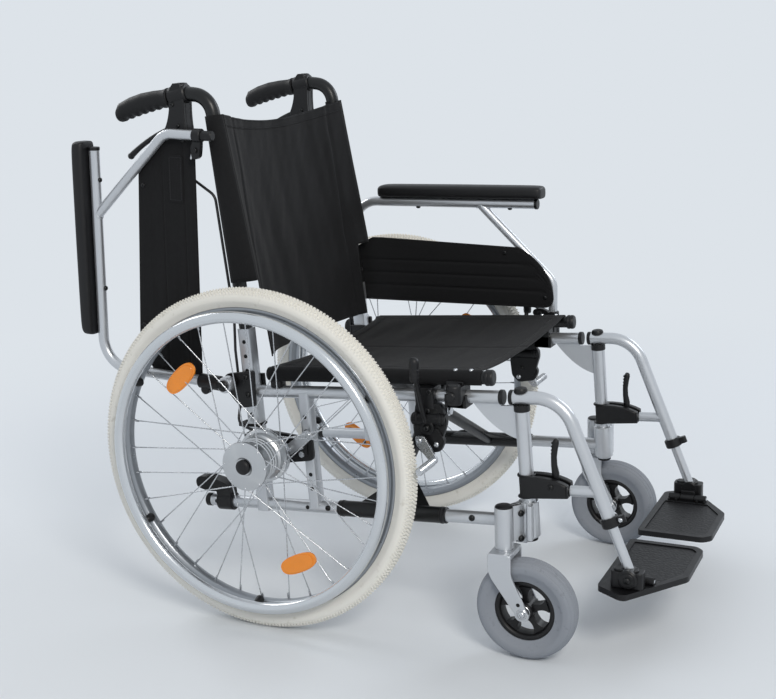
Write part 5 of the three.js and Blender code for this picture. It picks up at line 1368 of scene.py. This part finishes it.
pad_stations = [(-335.6, 10), (-335, 6.5), (-333, 3.2), (-329, 1.2), (-320, 0.4), (-300, 0),
                (-240, -0.2), (-160, -0.4), (-80, -0.2), (-20, 0), (0, 0.6), (7, 2.2), (11, 4.6),
                (13, 8), (13.8, 12)]
form = Form().add(lofted([pad_section(y, narrow) for y, narrow in pad_stations]))
for side in SIDES:
    made = piece(side + "_arm_cushion", form, [pad_skin], side + "_armrest", side, True,
                 [side + "_arm_pad"], "pad", 70)
    smooth = made.modifiers.new("smooth", "SUBSURF")
    smooth.levels = smooth.render_levels = 1
print("pads done")

# %% [markdown]
# Nylon is the soft finish here: a tight plain weave, matt black with a faint sheen at grazing
# angles. Crossed wave textures on the cloth's own UV map, in metres, make the threads, so the weave
# follows the cloth however it bends. A slow noise keeps the black from looking printed.
# %% Woven nylon


def woven(name, colour, threads=1100.0, relief=0.00022):
    made = finish(name, colour, 0.8, 0.0, 0.22, 300, 0.0001, 18, 0.06, Sheen_Weight=0.04,
                  Sheen_Roughness=0.5, Specular_IOR_Level=0.28)
    tree = made.node_tree
    values = {"Vector": add_node(tree, "ShaderNodeUVMap", uv_map="cloth")["UV"],
              "Scale": threads / 6.28, "Distortion": 0.6}
    waves = [add_node(tree, "ShaderNodeTexWave", values, bands_direction=axis)["Fac"]
             for axis in ("X", "Y")]
    carve(made, combine(tree, "MULTIPLY", *waves), relief, over_grain=True)
    return made


nylon = woven("black_woven_nylon", "0b0b0d")
webbing = woven("black_webbing", "0d0d0f", 620, 0.0004)
thread = finish("black_thread", "1c1c20", 0.6, 0.0, 0.1, 2000, 0.00003)
print("nylon ready")

# %% [markdown]
# A sling is one sheet of nylon, stretched between two tubes and sewn back round each. It hangs a
# little, and it wrinkles lengthwise where it was folded with the chair. Each sling is a grid of
# points with its wrinkles worked out from noise that is long one way and short the other. Solidify
# gives it its thickness.
# %% A sheet of cloth from a grid


def cloth(name, grid, width, length, paint, thickness=1.6, side="left", stands_for=(),
          is_cut=None):
    rows, count = len(grid), len(grid[0])
    mesh = bpy.data.meshes.new(name)
    points = [placed(p, side) for row in grid for p in row]
    faces = [(i * count + j, i * count + j + 1, (i + 1) * count + j + 1, (i + 1) * count + j)
             for i in range(rows - 1) for j in range(count - 1) if not (is_cut and is_cut(i, j))]
    mesh.from_pydata(points, [], faces)
    layout = mesh.uv_layers.new(name="cloth")
    for loop in mesh.loops:
        i, j = divmod(loop.vertex_index, count)
        layout.data[loop.index].uv = (width * j / (count - 1), length * i / (rows - 1))
    shape = bmesh.new()
    shape.from_mesh(mesh)
    loose = [point for point in shape.verts if not point.link_faces]
    bmesh.ops.delete(shape, geom=loose, context="VERTS")
    shape.to_mesh(mesh)
    shape.free()
    mesh.materials.append(paint)
    mesh.shade_smooth()
    made = add_object(name, mesh)
    shell = made.modifiers.new("thickness", "SOLIDIFY")
    shell.thickness, shell.offset = thickness / 1000, 0
    if stands_for:
        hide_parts(*stands_for)
    return made


def wrinkle(across, along, seed, long_scale, short_scale):
    x, y = across / short_scale, along / long_scale
    coarse = noise.noise(Vector((x, y, seed)))
    return coarse + 0.5 * noise.noise(Vector((x * 2.1, y * 1.7, seed + 9)))


def ridge(distance, width):
    """One on a line, falling away to both sides of it."""
    return math.exp(-((distance / width) ** 2))


print("cloth tool ready")

# %% [markdown]
# The back sling has three parts: a sleeve round each back tube and the panel between them. Its
# narrower foot hangs down behind the seat, below the ends of the sleeves and open beside them. The
# sleeves ride on the side frames. Its top sags and has a folded hem, and two seams run down it near
# the tubes. The cloth is full beside the tubes, so it stands forward of them, the more the lower
# down.
# %% The back sling
BACK_TOP, BACK_FOOT, FLAP_FOOT, FLAP_HALF = 697, 408, 266, 196
BACK_WRAP = 14.2
EDGE = PLANE + BACK_WRAP * math.cos(math.radians(-95))


def back_height(share, x=PLANE):
    dip = 20 * math.cos(math.pi * x / (2 * PLANE)) if abs(x) < PLANE else 0
    return BACK_FOOT + (BACK_TOP - BACK_FOOT) * share - dip * max(0.0, share - 0.7) / 0.3


def fullness(share):
    """How far the cloth beside a tube stands forward of it."""
    return 4 + 20 * (1 - min(1.0, max(0.0, share)))


def back_panel_point(x, share, lift=0.0):
    """A point on the panel between the tubes. A lift moves it towards the sitter."""
    t = (EDGE - x) / (2 * EDGE)
    bow = max(0.0, math.sin(math.pi * t))
    w = back_height(share, x)
    depth = 31 * bow**0.8 * (0.72 + 0.28 * math.cos((share - 0.4) * 2))
    fold = 3.4 * wrinkle(x + 0.16 * (w - 500), w, 3.0, 380, 52)
    fold += 1.5 * wrinkle(x - 0.45 * (w - 500), w, 7.0, 230, 36)
    seam = -2.2 * ridge(abs(x) - 176, 3.5) + 1.4 * ridge(abs(x) - 166, 6)
    hem = 1.1 if share > 0.93 else 0
    forward = BACK_WRAP + fullness(share) * (1 - bow) ** 2
    inner = depth + fold * min(1, 6 * bow) - seam - hem * min(1, 8 * bow)
    return back(x, w, inner - forward - lift)


flap_share = (FLAP_FOOT - BACK_FOOT) / (BACK_TOP - BACK_FOOT)
shares = [flap_share * (1 - i / 20) for i in range(20)] + [i / 64 for i in range(60)]
shares += [0.928, 0.932, 0.95, 0.975, 0.99, 1.0]
columns = [EDGE - 2 * EDGE * k / 88 for k in range(89)]


def beside_flap(i, j):
    """The cut below each sleeve, beside the flap."""
    return shares[i] < 0 and max(abs(columns[j]), abs(columns[j + 1])) > FLAP_HALF


grid = [[back_panel_point(x, share) for x in columns] for share in shares]
back_panel = cloth("back_panel", grid, 0.46, 0.431, nylon, 2.0, stands_for=["back_sling"],
                   is_cut=beside_flap)
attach(back_panel, "left_frame")


def sleeve_point(i, k, seed):
    angle, share = math.radians(175 - 15 * k), i / 30
    reach = BACK_WRAP - 0.6 + 0.35 * wrinkle(k * 9, i * 10, seed, 90, 60)
    if k > 11:
        reach += fullness(share)
    return back(PLANE + BACK_WRAP * math.cos(angle), back_height(share), reach * math.sin(angle))


for side, seed in (("left", 4.0), ("right", 6.0)):
    grid = [[sleeve_point(i, k, seed) for k in range(19)] for i in range(31)]
    sleeve = cloth("back_sleeve_" + side, grid, 0.075, 0.289, nylon, 1.8, side)
    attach(sleeve, side + "_frame")
print("back sling has", len(back_panel.data.vertices), "points")

# %% [markdown]
# Stitches are short threads in a dashed line. The wire tree makes them from pairs of points that
# lie on the panel, two rows along the hem and one down each seam.
# %% Stitches on the back sling


def dashes(follow, count, gap=0.38):
    """Pairs of points at even steps along a line, with gaps between them."""
    return [[follow(k / count), follow((k + 1 - gap) / count)] for k in range(count)]


lines = []
for share in (0.938, 0.992):
    lines += dashes(lambda t: back_panel_point(212 - 424 * t, share, 1.35), 110)
for x in (171, -171):
    lines += dashes(lambda t: back_panel_point(x, 0.02 + 0.9 * t, 1.2), 78)
back_stitches = wires("back_stitches", lines, 0.45, thread, "left_frame", sides=5)
for part in (back_panel, back_stitches):
    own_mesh(part)
print("stitches", len(lines))

# %% [markdown]
# The seat sling is sewn round both seat rails and sags between them. Each rail moves with its own
# brace.
# %% The seat sling
SEAT_W = 242.5
SEAT_WRAP = 12.6
SEAT_REAR, SEAT_FRONT = 8, 404
WRAP_SHARE = 0.09


def seat_point(t, share, lift=0.0):
    """A point of the seat: t runs from one outer edge to the other, share from the rear."""
    u = SEAT_REAR + (SEAT_FRONT - SEAT_REAR) * share
    if t < WRAP_SHARE or t > 1 - WRAP_SHARE:
        side = -1 if t < WRAP_SHARE else 1
        turned_by = (t if side < 0 else 1 - t) / WRAP_SHARE
        angle = math.radians(-60 + 150 * turned_by)
        reach = SEAT_WRAP + lift
        x = side * (PLANE + reach * math.cos(angle))
        return rail(x, u, SEAT_W + reach * math.sin(angle))
    s = (t - WRAP_SHARE) / (1 - 2 * WRAP_SHARE)
    x = -PLANE + 2 * PLANE * s
    bow = math.sin(math.pi * s)
    sag = 15 * bow**0.75 * (0.85 + 0.15 * math.cos(2.4 * (share - 0.45)))
    fold = 2.2 * wrinkle(u, x, 12.0, 170, 42) * min(1, 4 * bow)
    cross = -1.6 * ridge(x, 3.2)
    hem = 0.9 if share > 0.955 or share < 0.045 else 0
    return rail(x, u, SEAT_W + SEAT_WRAP - sag + fold + cross + (hem + lift) * min(1, 8 * bow))


across = [k / 110 for k in range(111)]
along = [0, 0.012, 0.03, 0.044, 0.046] + [0.06 + 0.88 * k / 58 for k in range(59)]
along += [0.954, 0.956, 0.97, 0.988, 1.0]
grid = [[seat_point(t, share) for t in across] for share in along]
seat = cloth("seat_cloth", grid, 0.53, 0.4, nylon, 2.2, stands_for=["seat_sling"])
lines = []
for share in (0.05, 0.95):
    lines += dashes(lambda t: seat_point(0.12 + 0.76 * t, share, 1.4), 120)
for seam in (0.125, 0.875):
    lines += dashes(lambda t: seat_point(seam, 0.02 + 0.96 * t, 1.4), 100)
seat_stitches = wires("seat_stitches", lines, 0.45, thread, "brace_left", sides=5)
for part in (seat, seat_stitches):
    part.parent = None
    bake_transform(part)
print("seat has", len(seat.data.vertices), "points")

# %% [markdown]
# The side panels are thin boards in nylon. The side that faces the sitter has three pressed
# grooves, and the outer side is loose cloth with long soft folds and two seams. Sections across the
# panel follow its outline from front to back, and each carries both faces, so the form is closed.
# A bound edge runs round it, and a stitched patch sits low on its front.
# %% Side panels
PANEL_X = 245.7
OUTER_SEAMS, GROOVES = (501, 546), (511, 537, 563)
upper_line = arc((-358, 500), (-354, 560), (-290, 594), 14)
upper_line += [(-142, 600), (4, 606), (26, 606), (56, 590), (87, 570)]
lower_line = arc((-358, 500), (-357, 481), (-340, 481), 8) + [(87, 481)]


def edge_height(line, y):
    for (y0, z0), (y1, z1) in zip(line, line[1:]):
        if y0 <= y <= y1:
            return z0 + (z1 - z0) * (y - y0) / max(y1 - y0, 0.001)
    return line[-1][1]


def panel_section(y, seed):
    low, high = edge_height(lower_line, y), edge_height(upper_line, y)
    shape = []
    for face in (1, -1):
        for k in range(81):
            z = low + (high - low) * (k / 80 if face == 1 else 1 - k / 80)
            edge = max(0, min(z - low, high - z, y + 358, 87 - y))
            bulge = 1.8 + 1.1 * min(1.0, edge / 7) ** 0.5
            if face == 1:
                bulge += 1.3 * wrinkle(z, y, seed, 260, 24) * min(1, edge / 25)
                bulge -= 1.5 * sum(ridge(z - seam, 1.5) for seam in OUTER_SEAMS) * (edge > 9)
            else:
                bulge -= 2.3 * sum(ridge(z - groove, 2.6) for groove in GROOVES) * (edge > 12)
            shape.append((PANEL_X + face * min(bulge, 3.95), y, z))
    return shape


def lay_cloth(made, form, place):
    """A UV map in metres on a piece, for its weave, from the points of its form."""
    layout = made.data.uv_layers.new(name="cloth")
    for loop in made.data.loops:
        layout.data[loop.index].uv = place(form.points[loop.vertex_index] / 1000)


stations = [-357.9, -357, -355, -351, -346, -340] + [-332 + 8 * k for k in range(52)]
stations += [82, 85.5, 87]
rim_line = upper_line + [(87, 481)] + lower_line[-2:0:-1]
path = [Vector((PANEL_X, *p)) for p in soften(rim_line, 2, 2)]
bound = Form().add(tube(path + path[:1], 2.7, 8, 0.01))
patch = Form()
patch.add(plate(soften([(-318, 503), (-236, 503), (-236, 532), (-318, 532)], 4, 3), 247.6, 250))
inset = [(-314, 506), (-240, 506), (-240, 529), (-314, 529)]
for (y0, z0), (y1, z1) in zip(inset, inset[1:] + inset[:1]):
    start, step = Vector((250, y0, z0)), Vector((0, y1 - y0, z1 - z0))
    for ends in dashes(lambda t: start + step * t, round(step.length / 4), 0.4):
        patch.add(rod(*ends, 0.5, 0.5, 5, 0.05), 1)
for side, seed in (("left", 2.0), ("right", 5.0)):
    body = side + "_armrest"
    form = Form().add(lofted([panel_section(y, seed) for y in stations]))
    panel = piece(side + "_side_panel_cloth", form, [nylon], body, side, True,
                  [side + "_side_panel"], crease=60)
    lay_cloth(panel, form, lambda p: (p.y, p.z))
    binding = piece(side + "_panel_binding", bound, [webbing], body, side, True, crease=70)
    lay_cloth(binding, bound, lambda p: (p.y + p.x, p.z + p.x))
    sewn = piece(side + "_panel_patch", patch, [webbing, thread], body, side, True, crease=50)
    lay_cloth(sewn, patch, lambda p: (p.y + p.x, p.z))
INWARDS = (-1, 0, 0)
front_rivets = [(-262, 586), (-344, 500)]
spots = [((249.2, *p), OUTWARDS) for p in front_rivets + [(-10, 596), (70, 500)]]
spots += [((242.2, *p), INWARDS) for p in front_rivets]
stamp_pair("panel_rivets", spots, dome_head, black_plastic, "armrest", on_armrest=True, size=0.8)
print("side panels done")

# %% [markdown]
# Two braces cross under the seat. Each has a sleeve that turns on a lower rail, a diagonal tube,
# and the seat rail of the other side on its upper end. Flat webs stiffen the joints, and one bolt
# holds both braces where they cross. A black knob closes the front of each seat rail.
# %% Cross braces
BRACE_U = 218


def brace_web(x, w, towards):
    lean = (rail(-2 * PLANE, 0, SEAT_W) - rail(0, 0, 0)).normalized() * -towards
    normal = rail_way.cross(lean).normalized()
    middle = rail(x, BRACE_U, w) - normal * 2.4
    corners = soften([(-78, 0), (78, 0), (23, 72), (-23, 72)], 10, 4)
    return prism([middle + rail_way * a + lean * b for a, b in corners], normal * 4.8)


def seat_rail(u):
    return rail(-PLANE, u, SEAT_W)


knob_line = [(12.4, 410), (13.4, 411), (13.6, 414), (12.6, 416), (13.4, 417), (13.4, 421),
             (12, 423.4), (9, 424)]
for side, offset in (("left", 13), ("right", -13)):
    form = Form()
    form.add(rail_rod((BRACE_U - 103, 0), (BRACE_U + 103, 0), 14, chamfer=1.2))
    for u in (BRACE_U - 97, BRACE_U + 92):
        form.add(rail_rod((u, 0), (u + 5, 0), 14.7), 1)
    form.add(rod(seat_rail(2), seat_rail(418), RAIL))
    form.add(rod(rail(PLANE, BRACE_U + offset, 0), seat_rail(BRACE_U + offset), RAIL))
    form.add(brace_web(PLANE, 0, -1)).add(brace_web(-PLANE, SEAT_W, 1))
    form.add(stack(seat_rail, knob_line), 1)
    form.add(rod(seat_rail(1), seat_rail(6), 12.2), 1)
    piece(side + "_seat_brace", form, [black_steel, black_plastic], "brace_" + side, side,
          stands_for=["cross_brace_" + side], slot="black_steel", bevel=0.8)
    spots = [(rail(-PLANE - 3, u, SEAT_W + 13), (-0.25, 0, 1)) for u in (358, 386)]
    stamp(side + "_seat_screws", spots, dome_head, bolt_metal, "brace_" + side, side, size=0.75)
form = Form()
for low, high, radius, sides in ((-28, 28, 5, 24), (-26.4, -24.4, 10, 24), (24.4, 26.4, 10, 24),
                                 (-30.3, -26, 8.6, 6), (26, 30.3, 8.6, 6)):
    ends = [rail(0, BRACE_U + u, SEAT_W / 2) for u in (low, high)]
    form.add(rod(*ends, radius, sides=sides))
piece("brace_bolt", form, [bolt_metal], "brace_left", stands_for=["brace_pivot_bolt"], slot="bolt",
      bevel=0.5)
print("braces done")

# %% [markdown]
# Black moulded and steel brackets are bolted to the frame: the armrest's pivot behind, the socket
# that takes its front end, and the saddles that the seat rails rest in. Their outlines are
# softened, and their bolts stamped.
# %% Armrest brackets
post = rail(0, REAR_U, 222)
corners = [(post.y - 15, post.z - 34), (post.y + 14, post.z - 40)]
corners += arc((post.y + 14, post.z - 40), (87, 396), (96, 414), 5)[1:]
corners += arc((96, 414), (97, 436), (79, 436), 5)[1:] + [(post.y - 15, post.z + 30)]
form = Form().add(plate(soften(corners, 3, 2), 235.3, 242.3))
form.add(pin(*ARM_PIVOT, 241, 262, 6))
form.add(pin(*ARM_PIVOT, 241, 249, 12, chamfer=1))
form.add(pin(*ARM_PIVOT, 271, 275.4, 10, chamfer=1.4))
form.add(rail_block(205.85, REAR_U, 222, 5.7, 34, 34, 1.6))
form.add(rail_block(222, REAR_U - 15, 222, 38, 5, 34, 1.6))
pair("arm_pivot_bracket", form, [black_plastic], "frame", "armrest_bracket", "black_plastic",
     bevel=1.2)
spots = [(rail(242.3, REAR_U, w), OUTWARDS) for w in (208, 240)]
spots.append(((275.4, *ARM_PIVOT), OUTWARDS))
stamp_pair("arm_pivot_bolts", spots, dome_head, black_steel, "frame")
print("brackets done")

# %% Armrest sockets and saddles
SOCKET = (-354, 436)
place_u = 347 / math.cos(PITCH) + 12
base, rest = rail(0, place_u, UPPER), rail(0, place_u, SEAT_W)
outline = [(207, base.z - 16), (240, base.z - 16), (240, base.z + 29)]
angles = [math.radians(-15 - 15 * k) for k in range(11)]
outline += [(PLANE + 11.6 * math.cos(a), rest.z + 11.6 * math.sin(a)) for a in angles]
outline.append((207, base.z + 29))
form = Form().add(prism([(x, base.y - 15, z) for x, z in outline], (0, 30, 0)))
lower = outline[:2] + [(240, base.z + 6), (207, base.z + 6)]
form.add(prism([(x, base.y - 19, z) for x, z in lower], (0, 38, 0)))
cup = [(12, 420), (12.8, 422), (12.8, 449), (12, 451), (10, 453)]
form.add(stack(lambda z: (ARM_X, SOCKET[0], z), cup, 24, 0.2))
form.add(block((236, SOCKET[0] - 10, 422), (262, SOCKET[0] + 10, 448), 2))
form.add(pin(*SOCKET, 272, 279, 8, 10, 1.5))
pair("arm_socket", form, [black_plastic], "frame", "armrest_receiver", "black_plastic", bevel=1.1)
spots = [((240.1, base.y + y, base.z + 18), OUTWARDS) for y in (-8, 8)]
stamp_pair("socket_bolts", spots, dome_head, bolt_metal, "frame", size=0.9)
form = Form().add(rail_block(PLANE, 17, SEAT_W - 17, 21, 20, 12, 2))
pair("rear_saddle", form, [black_plastic], "frame", bevel=1)
print("sockets done")

# %% [markdown]
# The parking brake is clamped on the upper rail in front of the tyre. Pushing its lever forwards
# turns a plate, and a short rod with a bright roller presses into the rubber. The body, the lever
# and the roller arm move apart from each other, so they are three pieces.
# %% Parking brake bodies
BRAKE_U = 306
form = Form().add(rail_block(226, BRAKE_U, UPPER, 38, 34, 36, 4))
outline = [(-278, 412), (-322, 414), (-334, 384), (-322, 344), (-296, 326), (-276, 338),
           (-272, 372)]
form.add(plate(soften(outline, 7, 4), 235, 244))
outline = [(-284, 405), (-316, 406), (-325, 384), (-315, 350), (-297, 336), (-283, 344),
           (-280, 372)]
form.add(plate(soften(outline, 6, 4), 243.8, 244.3), 1)
form.add(rod((241, -331, 387), (241, -270, 384), 10.5, chamfer=2.4))
for y in (-322, -279):
    form.add(rod((241, y - 3, 386.6), (241, y + 3, 386.3), 11.8, chamfer=1))
outline = [(-281, 366), (-318, 372), (-330, 350), (-322, 332), (-288, 326), (-274, 342)]
form.add(plate(soften(outline, 6, 4), 238, 247))
form.add(pin(-300, 372, 243, 252, 5), 1)
form.add(pin(-290, 352, 243, 261, 5), 1)
pair("brake_body", form, [black_plastic, black_steel], "frame", "parking_brake_body",
     "black_plastic", bevel=1.2)
spots = [rail(245.1, BRAKE_U + a, UPPER + 12) for a in (-11, 11)]
spots = [(p, OUTWARDS) for p in spots + [(244.3, -300, 400), (252, -300, 372)]]
spots += [(p, INWARDS) for p in ((234.8, -300, 396), (234.8, -296, 356))]
stamp_pair("brake_bolts", spots, dome_head, black_steel, "frame", size=0.95)
spots = [(p, OUTWARDS) for p in ((261, -290, 352), (247.2, -288, 338), (247.2, -315, 344))]
spots.append(((234.8, -290, 338), INWARDS))
stamp_pair("linkage_bolts", spots, dome_head, bolt_metal, "frame", size=0.95)
print("brake bodies done")

# %% Parking brake levers and rollers
hub = soften([(5.6, 244.6), (12, 244.6), (12, 250.4), (5.6, 250.4)], 0.8, 2)
form = Form().add(turned(hub, (-300, 372), 32))
form.add(tube(bend([(247.5, -297, 381), (258.5, -294, 414), (281, -294, 475)], 20, 6), 4.2, 16))


def lever_top(z):
    return Vector((281, -294, z))


grip_line = [(6.6, 459), (7.6, 461), (7.9, 470), (7.4, 480), (8.2, 487), (8.4, 492), (7, 496),
             (4.4, 498.4), (2, 499)]
form.add(stack(lever_top, grip_line, 20, 0.1))
for z in (466, 472, 478):
    form.add(stack(lever_top, [(7.6, z - 1), (8.3, z), (7.6, z + 1)], 20, 0.1))
pair("brake_handle", form, [black_plastic], "parking_lever", "parking_brake_lever",
     "black_plastic", bevel=0.5)
SHOE_REACH = WHEEL[1] + 7 + 5
shoe = tuple(on_wheel(0, SHOE_REACH, math.radians(177)))[1:]
outline = [(-282, 359), (-298, 360), (shoe[0] - 7, shoe[1] + 2), (shoe[0] - 3, shoe[1] - 7),
           (shoe[0] + 6, shoe[1] - 3), (-284, 344)]
form = Form().add(plate(soften(outline, 4, 3), 254.7, 260.3))
form.add(pin(*shoe, 256, 322, 6.2))
for x in range(266, 317, 5):
    rib = [(6.2, x), (7, x + 0.8), (7, x + 3), (6.2, x + 3.8)]
    form.add(stack(lambda at: (at, *shoe), rib, 20))
pair("brake_roller", form, [bolt_metal], "parking_shoe", "parking_brake_shoe", "silver", bevel=0.4)
print("parking brakes done")

# %% [markdown]
# Last come the pedal that a helper steps on to tip the chair, and the brake cables. A cable leaves
# the housing, runs down behind the back tube and turns in to the drum's lever. Black bands hold it
# on the tube.
# %% Tipping pedal
PEDAL_U = -117
form = Form().add(rail_rod((PEDAL_U - 16, 0), (PEDAL_U + 16, 0), 17, chamfer=1.6))
corners = [(14, 6), (14, 30)] + arc((14, 30), (0, 44), (-46, 48), 6)[1:]
corners += arc((-46, 48), (-62, 44), (-56, 28), 5)[1:]
corners += arc((-56, 28), (-40, 18), (-16, 20), 5)[1:] + [(-12, 6)]
form.add(plate(on_rail([(PEDAL_U + u, w) for u, w in corners]), 210, 234))
for k in range(6):
    form.add(rail_block(PLANE, PEDAL_U - 22 - k * 5.4, 47.6 - 0.5 * k, 22, 2, 3, 0.5))
piece("tip_pedal", form, [black_plastic], "right_frame", "right", stands_for=["tipping_pedal"],
      slot="black_plastic", bevel=2.2)
print("pedal done")

# %% Brake cables
CABLE = 2.5
behind_tube = BACK_TUBE + 4.8 + CABLE
beside = PLANE + 3
corners = [Vector((beside, lever_pivot.y - 6, lever_pivot.z - 48.6)),
           Vector((beside, lever_pivot.y - 12, lever_pivot.z - 90)),
           back(beside, BACK_FROM + 236, behind_tube), back(beside, BACK_FROM + 20, behind_tube),
           rail(beside, REAR_U - 26, 285), rail(beside, REAR_U - 26, 196),
           rail(250, REAR_U - 22, 156), Vector((259.2, 18, 337))]
path = bend(corners, 22, 8)
upper_end, lower_end = (path[1] - path[0]).normalized(), (path[-2] - path[-1]).normalized()
form = Form().add(tube(path, CABLE, 12, 0.3))
form.add(rod(path[0], path[0] + upper_end * 9, 3.4, 2.9, 16), 1)
form.add(rod(path[-1] + lower_end * 14, path[-1], 3.0, 3.6, 16), 1)
pair("cable_sheath", form, [cable_sheath, bolt_metal], "frame", "brake_cable", "cable", crease=60)
form = Form().add(rail_block(PLANE + 0.5, REAR_U - 8, 150, 29, 46, 5, 5))
form.add(rod(back(PLANE + 1, 348, 4), back(PLANE + 1, 356, 4), 18, chamfer=1))
pair("cable_bands", form, [webbing], "frame", bevel=0.6)
print("cables done")

# %% [markdown]
# The small shapes have done their work and go.
# %% Removing the small shapes
for shape in small_shapes:
    bpy.data.objects.remove(shape)
